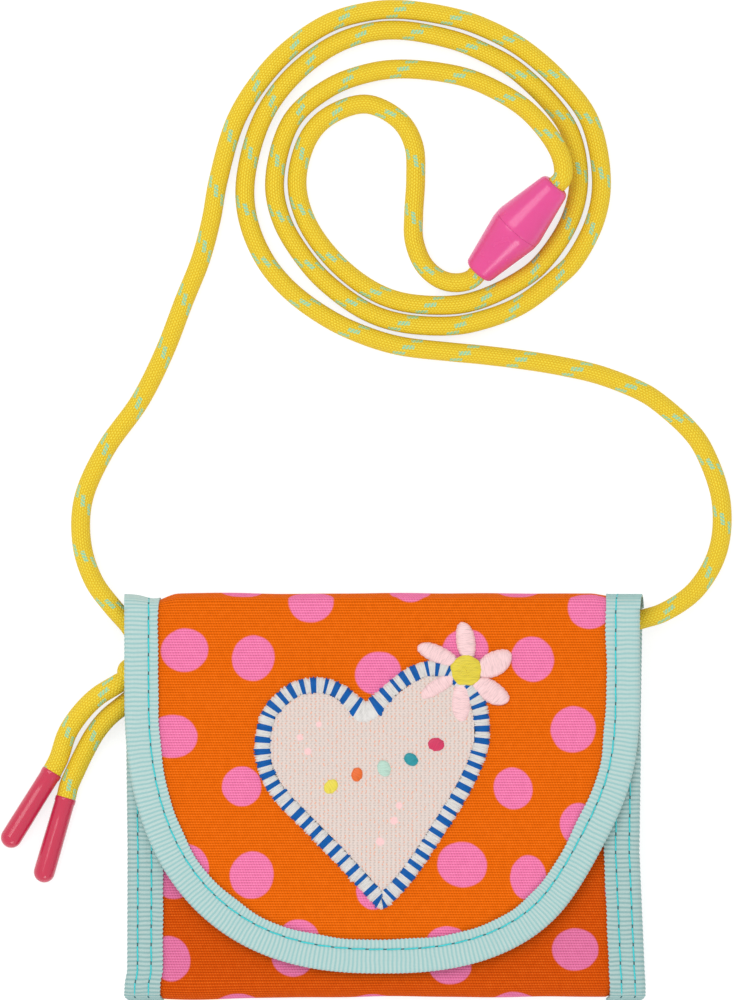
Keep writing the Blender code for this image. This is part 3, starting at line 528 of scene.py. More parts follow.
def printed_cloth(name, dots, wobble_seed=0.0, tone=1.0, orange=ORANGE):
    """Orange weave with pink dots: each dot is (x, y, half width, half height, turn)."""
    looks = Looks(name)
    flat = looks.flat()
    shifted = looks.vector("ADD", flat, (wobble_seed, 0, 0))
    wobble = looks.noise(shifted, PRINT_WOBBLE_SIZE, output="Color")
    wobble = looks.vector("SUBTRACT", wobble, (0.5, 0.5, 0.5))
    place = looks.vector("MULTIPLY_ADD", wobble, (PRINT_WOBBLE, PRINT_WOBBLE, 0), flat)
    nearest = None
    for x, y, wide, high, turn in dots:
        inputs = {
            "Location": (x, y, 0), "Rotation": (0, 0, math.radians(turn)), "Scale": (wide, high, 1),
            "Vector": place,
        }
        from_middle = looks.node("Mapping", inputs, "Vector", vector_type="TEXTURE")
        away = looks.vector("LENGTH", from_middle)
        nearest = away if nearest is None else looks.math("MINIMUM", nearest, away)
    inside = looks.smooth_step(nearest, *DOT_EDGE)
    cloth = weave(looks, flat)
    # The print in three copies by weave height: darker where the weave is low (painted shade), plain,
    # and paler in specks on the raised threads (painted highlight)
    dark = looks.mix(inside, linear(orange, 0.8 * tone), linear(PRINT_PINK, 0.82 * tone))
    plain = looks.mix(inside, linear(orange, tone), linear(PRINT_PINK, tone))
    painted_highlight = looks.mix(inside, linear(ORANGE_HIGHLIGHT, tone), linear(PINK_HIGHLIGHT, tone))
    base = looks.mix(looks.smooth_step(cloth, 0.12, 0.66), dark, plain)
    light = looks.smooth_step(cloth, 0.7, 0.98) * (looks.noise(flat, 0.5 * MM, 3) * 1.2 - 0.1)
    looks.apply("Base Color", looks.mix(light, base, painted_highlight))
    looks.bump(cloth, 0.1 * MM)
    looks.apply("Specular IOR Level", 0.06)
    looks.vary_roughness(flat, 8 * MM, 0.7, 0.86)
    return looks.material


def plain_cloth(name, colour):
    looks = Looks(name)
    flat = looks.flat()
    cloth = weave(looks, flat, LINING_RIB, LINING_WARP)
    shade = cloth * 0.6 + looks.noise(flat, 14 * MM) * 0.3
    # Darker where the weave is low: painted shade; and in broad random patches
    looks.apply("Base Color", looks.mix(shade, linear(colour, 0.8), linear(colour)))
    looks.bump(cloth, 0.08 * MM)
    looks.sheen(0.1)
    looks.vary_roughness(flat, 6 * MM, 0.78, 0.92)
    return looks.material


def ribbed_tape(name, seams, light=1.0, dark=1.0):
    """Grosgrain: ribs across the tape, painted shade in its grooves, needle holes along its seams."""
    looks = Looks(name)
    flat = looks.flat()
    along, across = looks.split(flat)
    ribs = looks.wave(along, RIB_PITCH)
    threads = looks.wave(across, TAPE_THREAD_PITCH)
    raised = looks.smooth_step(ribs, 0.05, 0.8)
    # Darker in the grooves between the ribs and between the threads: painted shade
    base = looks.mix(raised, linear(MINT_GROOVE_SHADE, dark), linear(MINT_LIGHT, light))
    base = looks.mix(looks.noise(flat, 3 * MM, 3) * 0.5, base, linear(MINT_PATCHES))
    base = looks.mix((1.0 - threads) * 0.16, base, linear(MINT_SHADE))
    half_hole = HOLE_LENGTH / STITCH_PITCH / 2
    for inset in seams:
        beside = looks.smooth_step(abs(across - inset), *HOLE_EDGE)
        near = abs((along / STITCH_PITCH).fraction() - 0.5)
        hole = beside * looks.smooth_step(near, half_hole + 0.02, half_hole)
        base = looks.mix(hole, base, linear(HOLE_DARK))
    looks.apply("Base Color", base)
    looks.bump(threads * 0.3 + ribs * 0.7, 0.06 * MM)
    looks.apply("Specular IOR Level", 0.35)
    looks.vary_roughness(flat, 4 * MM, 0.6, 0.78)
    return looks.material


def satin_thread(name, colour, roughness=0.42, gloss=1.0):
    """Embroidery thread: fine twisted fibres with a soft gloss."""
    looks = Looks(name, roughness)
    flat = looks.flat()
    along, across = looks.split(flat)
    twist = looks.wave(across * 0.6 + along, THREAD_PITCH)
    fibre = looks.noise(looks.vector("MULTIPLY", flat, (0.14, 1, 1)), 0.34 * MM, 3)
    shade = twist * 0.2 + fibre * 0.8
    # Darker between the twists and lighter in streaks along the fibres: painted shade and highlight,
    # with uneven thread
    light = looks.smooth_step(shade, 0.26, 0.58)
    looks.apply("Base Color", looks.mix(light, linear(colour, 0.84), linear(colour)))
    looks.bump(shade, 0.08 * MM)
    looks.sheen(0.2 * gloss, 0.35)
    looks.apply("Specular IOR Level", 0.5 * gloss)
    return looks.material


def stitched_field():
    """Cream rows of zigzag thread, with cloth peeping through tiny gaps and a few pink specks."""
    looks = Looks("cream_field", 0.6)
    flat = looks.flat()
    x, y = looks.split(flat)
    rows = looks.wave(x + looks.wave(y, FIELD_SWAY_PITCH) * FIELD_SWAY, FIELD_ROW_PITCH)
    height = looks.wave(y, FIELD_STITCH_PITCH) * 0.4 + rows * 0.6
    grain = looks.noise(flat, 0.35 * MM, 3)
    shade = grain * 0.5 + height * 0.5
    # Darker where the stitches dip: painted shade between the stitches; and at random, uneven thread
    base = looks.mix(looks.smooth_step(shade, 0.2, 0.55), linear(CREAM, 0.87), linear(CREAM))
    often = looks.smooth_step(looks.noise(flat, 0.55 * MM, 1), 0.52, 0.62)
    peep = looks.smooth_step(rows, 0.30, 0.05) * often * 0.75
    base = looks.mix(peep, base, linear(PEEP_ORANGE))
    for pixel, radius in FIELD_SPECKS:
        away = looks.vector("LENGTH", looks.vector("SUBTRACT", flat, (*photo_place(pixel), 0)))
        speck = looks.smooth_step(grain * radius + away, 1.5 * radius, 1.1 * radius)
        base = looks.mix(speck * 0.8, base, linear(SPECK_PINK))
    looks.apply("Base Color", base)
    looks.bump(shade, 0.16 * MM)
    looks.sheen(0.15)
    return looks.material


def braided_cord():
    """Yellow braid in small slanted cells, with dashes of a mint thread along a slow helix."""
    looks = Looks("yellow_braid")
    flat = looks.flat()
    along, around = looks.split(flat)
    # Cells: every other column is half a cell on and leans the other way.
    column = around * CELL_COLUMNS
    side = column.fraction() - 0.5
    odd = (column.floor() * 0.5).fraction()
    slant = side * (odd * -4.0 + 1.0) * 0.45
    row = along / CELL_LENGTH + (odd + slant)
    cell = looks.smooth_step(abs(row.fraction() - 0.5), 0.5, 0.22)
    cell = cell * looks.smooth_step(abs(side), 0.5, 0.25)
    # Darker, warmer yellow in the grooves between the cells: painted shade
    base = looks.mix(cell, linear(CORD_GROOVE_SHADE), linear(CORD_YELLOW))
    base = looks.mix(looks.noise(flat, 2 * MM) * 0.35, base, linear(CORD_PATCHES))
    # Flecks: each sector's dashes lie a step further along than the one before.
    sector = around * FLECK_STEPS
    phase = along / FLECK_PITCH + sector.floor() / FLECK_STEPS
    lengthwise = (phase.fraction() - 0.5) * FLECK_PITCH
    sideways = sector.fraction() - 0.5
    slanted = lengthwise * (0.07 / MM) + sideways
    fleck = looks.smooth_step(abs(lengthwise), FLECK_LENGTH * 0.54, FLECK_LENGTH * 0.46)
    fleck = fleck * looks.smooth_step(abs(slanted), 0.30, 0.20)
    strokes = looks.wave(sideways * (1.1 * MM) + along, 0.8 * MM)
    fleck = fleck * (looks.smooth_step(strokes, 0.05, 0.4) * 0.75 + 0.2)
    looks.apply("Base Color", looks.mix(fleck, base, linear(FLECK_MINT)))
    looks.bump(cell, 0.13 * MM)
    looks.apply("Specular IOR Level", 0.2)
    looks.vary_roughness(flat, 3 * MM, 0.5, 0.68)
    return looks.material


def moulded(name, colour, roughness):
    """Glossy moulded plastic with a very faint unevenness."""
    looks = Looks(name)
    place = looks.node("TexCoord", {}, "Object")
    tone = looks.noise(place, 9 * MM, 1) * 0.5
    looks.apply("Base Color", looks.mix(tone, linear(colour), linear(colour, 0.9)))
    looks.bump(looks.noise(place, 5 * MM, 1), 0.02 * MM)
    looks.apply("Subsurface Weight", 0.12)
    looks.apply("Subsurface Radius", (2 * MM, 1 * MM, 1 * MM))
    looks.apply("Coat Weight", 0.25)
    looks.apply("Coat Roughness", 0.12)
    looks.vary_roughness(place, 4 * MM, roughness * 0.85, roughness * 1.3)
    return looks.material


def pad_nap(name, colour, tuft, roughness):
    """The face of a hook or loop pad: small tufts in rows."""
    looks = Looks(name, roughness)
    flat = looks.flat()
    x, y = looks.split(flat)
    tufts = looks.wave(x, tuft) * looks.wave(y, tuft)
    height = tufts * 0.5 + looks.noise(flat, tuft * 0.8, 4) * 0.5
    light = looks.smooth_step(height, 0.2, 0.7)
    # Darker between the tufts: painted shade, with some random unevenness
    looks.apply("Base Color", looks.mix(light, linear(colour, 0.72), linear(colour)))
    looks.bump(height, 0.3 * MM)
    looks.sheen(0.3)
    return looks.material


# Lines and fields


def travel(line):
    """How far along a line each of its points lies."""
    return np.concatenate([[0], np.cumsum(np.linalg.norm(np.diff(line, axis=0), axis=1))])


def line_length(line):
    return travel(line)[-1]


def at_places(places, marks, columns):
    """Columns of numbers that are known at marks, at other places between them."""
    return np.stack([np.interp(places, marks, column) for column in columns.T], axis=1)


def spread(low, high, step):
    return np.linspace(low, high, max(2, int(round(abs(high - low) / step)) + 1))


def evenly(line, step):
    travelled = travel(line)
    return at_places(spread(0, travelled[-1], step), travelled, line)


def resample(line, count):
    travelled = travel(line)
    return at_places(np.linspace(0, travelled[-1], count), travelled, line)


def unit(vectors):
    """Vectors of length one in the same directions."""
    return vectors / np.maximum(np.linalg.norm(vectors, axis=-1, keepdims=True), 1e-12)


def together(*fields):
    """Fields over one grid as the columns of its points."""
    return np.stack(np.broadcast_arrays(*fields), axis=-1)


def bell(distance, width):
    return np.exp(-((distance / width) ** 2))


def ramp(distance, width):
    """From 0 up to 1 over a width."""
    return np.clip(distance / width, 0, 1)


def swell(x, y, size, seed=0.0):
    """A gentle uneven field from -1 to 1 with features of the given size."""
    x = np.asarray(x) / size
    y = np.asarray(y) / size
    total = np.sin(1.7 * x + 2.3 * y + seed) + np.sin(-2.1 * x + 1.3 * y + 2.1 * seed)
    total = total + 0.6 * np.sin(3.9 * x - 0.8 * y + 1.3 * seed)
    total = total + 0.4 * np.sin(1.1 * x + 4.7 * y + seed)
    return total / 3


def blurred(columns, kernel):
    return np.stack([np.convolve(column, kernel, "valid") for column in columns.T], axis=1)


def blurred_loop(points, window):
    """The points of a closed line, each blurred over a window to both sides."""
    kernel = np.hanning(2 * window + 3)[1:-1]
    wrapped = np.vstack([points[-window:], points, points[:window]])
    return blurred(wrapped, kernel / kernel.sum())


def arc(centre, radius, start, end, steps):
    angles = np.radians(np.linspace(start, end, steps + 1))
    return [(centre[0] + radius * math.cos(a), centre[1] + radius * math.sin(a)) for a in angles]


def smooth_line(points, steps):
    """Points on a smooth curve through the given ones (a centripetal Catmull-Rom spline)."""
    given = np.array(points, float)
    given = np.vstack([2 * given[0] - given[1], given, 2 * given[-1] - given[-2]])
    line = []
    for a, b, c, d in zip(given, given[1:], given[2:], given[3:]):
        t1 = np.linalg.norm(b - a) ** 0.5
        t2 = t1 + np.linalg.norm(c - b) ** 0.5
        t3 = t2 + np.linalg.norm(d - c) ** 0.5
        for t in np.linspace(t1, t2, steps, endpoint=False):
            ab = (t1 - t) / t1 * a + t / t1 * b
            bc = (t2 - t) / (t2 - t1) * b + (t - t1) / (t2 - t1) * c
            cd = (t3 - t) / (t3 - t2) * c + (t - t2) / (t3 - t2) * d
            abc = (t2 - t) / t2 * ab + t / t2 * bc
            bcd = (t3 - t) / (t3 - t1) * bc + (t - t1) / (t3 - t1) * cd
            line.append((t2 - t) / (t2 - t1) * abc + (t - t1) / (t2 - t1) * bcd)
    line.append(given[-2])
    return np.array(line)


def points_inside(x, y, outline):
    """Which points lie inside a closed outline."""
    inside = np.zeros(x.shape, bool)
    for (x1, y1), (x2, y2) in zip(outline, np.roll(outline, -1, axis=0)):
        if y1 != y2:
            inside ^= ((y1 > y) != (y2 > y)) & (x < x1 + (y - y1) / (y2 - y1) * (x2 - x1))
    return inside


# Meshes


def add_object(name, data):
    obj = bpy.data.objects.new(name, data)
    bpy.context.scene.collection.objects.link(obj)
    return obj


def fit(obj, body, slot, *nodes):
    """Says what a piece moves with and the CAD nodes that it stands for. slot is not used.

    body is a body's name, or two bodies and the ends of a bend between them, for which the piece is
    only fixed where it is, on no body.
    """
    if isinstance(body, str):
        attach(obj, body)
    else:
        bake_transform(obj)
    if nodes:
        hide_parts(*nodes)
    return obj


def grid_quads(rows, columns, start=0):
    corner = start + np.arange(rows - 1)[:, None] * columns + np.arange(columns - 1)[None]
    return together(corner, corner + 1, corner + columns + 1, corner + columns).reshape(-1, 4)


def build(name, points, quads, flat, *materials, face_slots=None):
    """A mesh from arrays. flat gives each point's place on the flat cloth, for its material."""
    points = np.asarray(points).reshape(-1, 3)
    mesh = bpy.data.meshes.new(name)
    mesh.vertices.add(len(points))
    mesh.vertices.foreach_set("co", points.ravel())
    mesh.loops.add(quads.size)
    mesh.loops.foreach_set("vertex_index", quads.ravel())
    mesh.polygons.add(len(quads))
    mesh.polygons.foreach_set("loop_start", np.arange(len(quads)) * 4)
    if face_slots is not None:
        mesh.polygons.foreach_set("material_index", face_slots)
    mesh.update(calc_edges=True)
    mesh.polygons.foreach_set("use_smooth", np.ones(len(quads), bool))
    places = np.zeros((len(points), 3))
    places[:, :2] = flat.reshape(-1, 2)
    mesh.attributes.new("flat", "FLOAT_VECTOR", "POINT").data.foreach_set("vector", places.ravel())
    for material in materials:
        mesh.materials.append(material)
    return add_object(name, mesh)


def build_grids(name, grids, flats, material, turned=False):
    """One piece from several grids of points. turned makes them face the other way."""
    quads = []
    total = 0
    for grid in grids:
        quads.append(grid_quads(*grid.shape[:2], total))
        total += grid.shape[0] * grid.shape[1]
    quads = np.concatenate(quads)
    points = np.concatenate([grid.reshape(-1, 3) for grid in grids])
    flats = np.concatenate([flat.reshape(-1, 2) for flat in flats])
    return build(name, points, quads[:, ::-1] if turned else quads, flats, material)


def cloth_piece(name, grid, flat, thickness, material, relief=0):
    """A closed sheet around a grid of middle points. relief thickens both faces."""
    rows, columns = grid.shape[:2]
    normals = unit(np.cross(np.gradient(grid, axis=0), np.gradient(grid, axis=1)))
    half = (thickness / 2 + np.zeros((rows, columns)) + relief)[:, :, None]
    count = rows * columns
    rim = np.concatenate([
        np.arange(columns - 1),
        np.arange(rows - 1) * columns + columns - 1,
        np.arange(columns - 1, 0, -1) + (rows - 1) * columns,
        np.arange(rows - 1, 0, -1) * columns,
    ])
    after = np.roll(rim, -1)
    quads = np.concatenate([
        grid_quads(rows, columns), grid_quads(rows, columns, count)[:, ::-1],
        np.stack([after, rim, rim + count, after + count], axis=1),
    ])
    faces = [grid + normals * half, grid - normals * half]
    sheet = build(name, faces, quads, np.concatenate([flat, flat]), material)
    sheet.data.set_sharp_from_angle(angle=math.radians(55))
    return sheet


def profile_grid(path, low_x, high_x, step):
    """The grid and flat places of a sheet with one (y, z) path, spread along X."""
    path = np.array(path)
    travelled = travel(path)
    s = spread(0, travelled[-1], step)[:, None]
    y, z = at_places(s[:, 0], travelled, path).T[:, :, None]
    x = spread(low_x, high_x, step)
    return together(x, y, z), together(x, s)


def rings(centres, sizes, across, upright, angles):
    """A ring of points round each centre, at angles between two directions."""
    spokes = np.cos(angles)[:, None] * across[:, None] + np.sin(angles)[:, None] * upright[:, None]
    return centres[:, None] + sizes[:, :, None] * spokes


# Soft forms


def flap_lift(x, y):
    """How far the soft flap stands off its flat form."""
    inner = np.clip(1 - (np.abs(x) / FLAP_HALF_WIDTH) ** 4, 0, 1)
    inner = inner * ramp(y - (FLAP_CURVE_Y - FLAP_CURVE_HEIGHT), 20 * MM)
    inner = inner * ramp(LAYERS_END_Y - y, 12 * MM)
    puff = inner * (FLAP_PUFF + FLAP_SWELL * swell(x, y, 16 * MM, 0.7))
    beside = bell(x - CREASE_MIDDLE[0], CREASE_SIZE[0]) * bell(y - CREASE_MIDDLE[1], CREASE_SIZE[1])
    return puff + CREASE_DEPTH * beside * np.sin((x * 0.9 + y * 0.35) / CREASE_PITCH)


def lift_flap(points):
    points = np.array(points)
    points[..., 2] += flap_lift(points[..., 0], points[..., 1])
    return points


def front_lift(x, y):
    """How far the soft front section stands off its flat form."""
    inner = np.clip(1 - (np.abs(x) / FRONT_PUFF_HALF_WIDTH) ** 2, 0, 1)
    return FRONT_PUFF * inner * (1 + 0.8 * swell(x, y, 12 * MM, 2.0))


# Cords


def tube(name, line, radius, material, start_length=0.0, tail=0.0):
    """A braided tube round a line, with its seam along its underside.

    tail is the length of its last stretch, which is plumper.
    """
    line = evenly(line, CORD_RING_STEP)
    along = unit(np.gradient(line, axis=0))
    across = unit(np.cross((0, 0, 1.0), along))
    upright = np.cross(along, across)
    s = travel(line)
    in_tail = ramp(s - s[-1] + tail + TAIL_EASE, TAIL_EASE) * (tail > 0)
    plump = PLUMP + (TAIL_PLUMP - PLUMP) * in_tail
    s = (s + start_length)[:, None]
    turn = np.linspace(0, 1, CORD_SIDES + 1)
    braid = np.sin(2 * math.pi * (s / BRAID_PITCH + BRAID_STRANDS * turn))
    braid = braid * np.sin(2 * math.pi * (s / BRAID_PITCH - BRAID_STRANDS * turn))
    size = radius + plump[:, None] - BRAID_DEPTH + BRAID_DEPTH * braid
    rows = np.concatenate([[0], np.arange(len(line)), [len(line) - 1]])
    size = size[rows]
    size[0] = size[-1] = CORD_END_RADIUS
    grid = rings(line[rows], size, across[rows], upright[rows], 2 * math.pi * turn - math.pi / 2)
    cord = build_grids(name, [grid], [together(s[rows], turn)], material, turned=True)
    cord.data.set_sharp_from_angle(angle=math.radians(60))
    return cord


def lifted(route):
    """The middle of a cord along its route, in metres."""
    return [(x * MM, y * MM, CORD_RADIUS + sum(lift) * MM) for x, y, *lift in route]


def clasp_line():
    """The clasp's middle and its way to the plug: it leans on its belt and its socket end."""
    belt = LAYER_GAP / 2 + CLASP_BELT
    tilt = math.atan((CLASP_RADIUS - CLASP_END_RADIUS) / (CLASP_LENGTH / 2 - belt))
    x, y = unit(np.array(CLASP_PLUG_END) - np.array(CLASP_SOCKET_END))
    middle = (np.array(CLASP_PLUG_END) + np.array(CLASP_SOCKET_END)) / 2
    height = CLASP_RADIUS * math.cos(tilt) + belt * math.sin(tilt)
    along = (x * math.cos(tilt), y * math.cos(tilt), math.sin(tilt))
    return np.array([*middle, height]), np.array(along)


def neck_cord(side, route, knot_in, tail, inside_tip):
    """A cord's line from just inside an end of the clasp, through the knot and into its tip."""
    centre, to_plug = clasp_line()
    inside = centre + side * (CLASP_LENGTH / 2 - CORD_IN_CLASP) * to_plug
    outside = centre + side * (CLASP_LENGTH / 2 + CORD_RADIUS) * to_plug
    line = smooth_line([inside, outside, *lifted(route)], 12)
    end = smooth_line([line[-1], *knot_in, *lifted(tail), (*inside_tip, TIP_RADIUS)], 12)
    return np.vstack([line[:-1], end])


def cut_line(line, length):
    """The line in two: its first stretch, of that length, and the rest."""
    travelled = travel(line)
    place = at_places([length], travelled, line)
    before = travelled < length
    return np.vstack([line[before], place]), np.vstack([place, line[~before]])


def make_camera():
    data = bpy.data.cameras.new("camera")
    data.lens = CAMERA_LENS
    data.sensor_width = CAMERA_SENSOR
    camera = add_object("camera", data)
    distance = PHOTO_SIZE[1] * PIXEL * data.lens / data.sensor_width
    camera.location = (*photo_place((PHOTO_SIZE[0] / 2, PHOTO_SIZE[1] / 2)), distance + CAMERA_LIFT)
    bpy.context.scene.camera = camera


def make_cords(braid):
    """Both halves of the neck cord, each through the knot and out to its moulded tip."""
    left = neck_cord(1, LEFT_ROUTE, LEFT_KNOT_IN, TAIL_1_ROUTE, INSIDE_TIP_1)
    right = neck_cord(-1, RIGHT_ROUTE, RIGHT_KNOT_IN, TAIL_2_ROUTE, INSIDE_TIP_2)
    at_plug, left = cut_line(left, AT_PLUG_LENGTH)
    end = tube("cord_at_plug", at_plug, CORD_RADIUS, braid)
    fit(end, ("pouch", "clasp", tuple(at_plug[-1]), tuple(at_plug[2])), "yellow_braid", "cord_end")
    cords = [(end, at_plug)]
    for name, line, start, nodes in (
        ("neck_cord_left", left, AT_PLUG_LENGTH, ("cord_left", "cord_tail_1")),
        ("neck_cord_right", right, 0.0, ("cord_right", "cord_tail_2")),
    ):
        cord = tube(name, line, CORD_RADIUS, braid, start, TAIL_LENGTH)
        cords.append((fit(cord, "pouch", "yellow_braid", *nodes), line))
    return cords


def make_knot(braid):
    """An overhand knot: a trefoil of the same braid, pressed flat between the layers."""
    t = np.linspace(0, 2 * math.pi, 160)
    reach = np.array(KNOT_HALF_SIZE) - KNOT_CORD_RADIUS
    line = together(
        KNOT_MIDDLE[0] + reach[0] / TREFOIL_SPAN * (np.sin(t) + 2 * np.sin(2 * t)),
        KNOT_MIDDLE[1] + reach[1] / TREFOIL_SPAN * (np.cos(t) - 2 * np.cos(2 * t)),
        KNOT_MIDDLE[2] - reach[2] * 0.9 * np.sin(3 * t),
    )
    return fit(tube("knot", line, KNOT_CORD_RADIUS, braid), "pouch", "yellow_braid", "cord_knot")


# Turned pieces


def lathe(name, start, along, profile, material):
    """A turned piece: profile is (distance along its axis, radius) points."""
    along = np.array(along)
    across = unit(np.cross((0, 0, 1.0), along))[None]
    distance, radius = np.array(profile).T[:, :, None]
    angle = np.linspace(0, 2 * math.pi, TURNED_SIDES + 1) - math.pi / 2
    grid = rings(np.array(start) + distance * along, radius, across, np.cross(along, across), angle)
    obj = build_grids(name, [grid], [together(distance, angle)], material, turned=True)
    obj.data.set_sharp_from_angle(angle=math.radians(50))
    return obj


def rounded_profile(corners, steps=5):
    """A profile with its corners rounded: each corner is (distance, radius, rounding)."""
    line = []
    for i, (x, r, rounding) in enumerate(corners):
        here = np.array([x, r])
        if rounding == 0 or i in (0, len(corners) - 1):
            line.append(here)
            continue
        before = here + unit(np.array(corners[i - 1][:2]) - here) * rounding
        after = here + unit(np.array(corners[i + 1][:2]) - here) * rounding
        for t in np.linspace(0, 1, steps):
            line.append((1 - t) ** 2 * before + 2 * t * (1 - t) * here + t * t * after)
    return line


def make_clasp(material):
    """The clasp's two halves: each one's cord mouth and cone, then its bore or its ringed prong."""
    centre, to_plug = clasp_line()
    half = CLASP_LENGTH / 2
    mouth = CORD_RADIUS + 0.1 * MM
    face = LAYER_GAP / 2
    shell = [
        (half - 2.4 * MM, 0.6 * MM, 0), (half - 2.4 * MM, mouth, 0), (half, mouth, 0.2 * MM),
        (half, CLASP_END_RADIUS, 1.3 * MM), (face + CLASP_BELT, CLASP_RADIUS, 0.7 * MM),
        (face - CLASP_LIP, CLASP_RADIUS - 0.02 * MM, 0.04 * MM),
    ]
    bore = [
        (face - CLASP_LIP, BORE_RADIUS, 0.2 * MM), (face + PRONG_LENGTH, BORE_RADIUS, 0),
        (face + PRONG_LENGTH, 0.05 * MM, 0),
    ]
    ring = face - PRONG_LENGTH
    prong = [
        (face - CLASP_LIP, PRONG_RADIUS, 0.2 * MM), (ring + 1.6 * MM, PRONG_RADIUS, 0.2 * MM),
        (ring + 1.2 * MM, PRONG_RING_RADIUS, 0.2 * MM),
        (ring + 0.5 * MM, PRONG_RING_RADIUS, 0.2 * MM),
        (ring, PRONG_RADIUS - 0.4 * MM, 0.3 * MM), (ring, 0.05 * MM, 0),
    ]
    halves = []
    for node, along, inner, body in (
        ("clasp_socket", -to_plug, bore, "pouch"), ("clasp_plug", to_plug, prong, "clasp"),
    ):
        piece = lathe(f"{node}_shell", centre, along, rounded_profile(shell + inner), material)
        halves.append(fit(piece, body, "pink_plastic", node))
    return halves


def make_tips(material):
    profile = [
        (1.6 * MM, CORD_RADIUS - 0.4 * MM), (1.0 * MM, CORD_RADIUS - 0.1 * MM),
        (0.05 * MM, CORD_RADIUS + 0.05 * MM), (0.0, TIP_RADIUS - 0.2 * MM),
        (0.12 * MM, TIP_RADIUS - 0.05 * MM), (0.4 * MM, TIP_RADIUS), (1.2 * MM, TIP_RADIUS),
        (1.45 * MM, TIP_RADIUS - 0.12 * MM), (6 * MM, TIP_RADIUS - 0.1 * MM),
        (14 * MM, TIP_RADIUS - 0.02 * MM),
        *arc((TIP_LENGTH - TIP_RADIUS, 0), TIP_RADIUS, 90, 1, 11),
    ]
    tips = []
    for number, (start, aim) in enumerate(zip(TIP_STARTS, TIP_AIMS), 1):
        along = (*unit(np.array(aim) - np.array(start)), 0)
        tip = lathe(f"moulded_tip_{number}", (*start, TIP_RADIUS), along, profile, material)
        tips.append(fit(tip, "pouch", "crimson_plastic", f"cord_tip_{number}"))
    return tips


# Wallet


def fold_path(offset):
    """The (y, z) path of a layer over the top fold, from back to flap, moved out by offset."""
    radius = CORNER_RADIUS + offset
    top_z = FLAP_CLOTH_Z - (CORNER_Z - BACK_CLOTH_Z)
    share = np.linspace(0, 1, 13)[1:-1]
    bow = CORNER_Y + radius + FOLD_BULGE * np.sin(math.pi * share)
    bow = np.column_stack([bow, CORNER_Z + share * (top_z - CORNER_Z)])
    return np.array([
        (LAYERS_END_Y, BACK_CLOTH_Z - offset), *arc((CORNER_Y, CORNER_Z), radius, -90, 0, 10), *bow,
        *arc((CORNER_Y, top_z), radius, 0, 90, 10), (LAYERS_END_Y, FLAP_CLOTH_Z + offset),
    ])


def fold_stretch(x, path, out):
    """How much a fold's path is stretched up at x: the cloth dips where the bindings hold it."""
    wave = FOLD_WAVE * swell(x, 0, 13 * MM, 0.3) * ramp(54 * MM - np.abs(x), 6 * MM)
    dip = FOLD_DIP * bell(x + 57.5 * MM, 3.4 * MM)
    shoulder = FOLD_SHOULDER * ramp(np.abs(x) - 52 * MM, 4 * MM)
    reach = FOLD_REACH + wave - dip - shoulder + out
    return (reach - LAYERS_END_Y) / (path[:, 0].max() - LAYERS_END_Y)


def fold_edges(edges, share):
    """The left and right edge of a layer at a share of its way over the fold."""
    return [back + (flap - back) * share for back, flap in zip(*edges)]


def ribbed(marks, depth=RIB_DEPTH):
    """The height of a tape's ribs at places along it."""
    return depth * np.cos(2 * math.pi * marks / RIB_PITCH)


def fold_halves(
    name, offset, edges, thickness, material, slot, node, marks_at=None, out=0.0, flip=False
):
    """A layer over the top fold in two halves.

    edges are its (left, right) edges at the back and at the flap. A tape has marks_at, which turns
    places along the fold into places along the tape, and flip where its right edge is outside.
    """
    path = fold_path(offset)
    travelled = travel(path)
    total = travelled[-1]
    step, columns = (RIB_PITCH / 4, 16) if marks_at else (0.4 * MM, 150)
    for part, low, high in (("low", 0.0, total / 2), ("high", total / 2, total)):
        s = spread(low, high, step)
        y, z = at_places(s, travelled, path).T[:, :, None]
        left, right = fold_edges(edges, (s / total)[:, None])
        x = left + (right - left) * np.linspace(0, 1, columns)
        grid = together(x, LAYERS_END_Y + (y - LAYERS_END_Y) * fold_stretch(x, path, out), z)
        flat = together(x, LAYERS_END_Y + total - s[:, None])
        relief = 0
        if marks_at:
            marks = marks_at(s, total)[:, None]
            flat = together(marks, right - x if flip else x - left)
            relief = ribbed(marks)
        half = cloth_piece(f"{name}_{part}", grid, flat, thickness, material, relief)
        fit(half, FOLD_BENDS[part], slot, node)


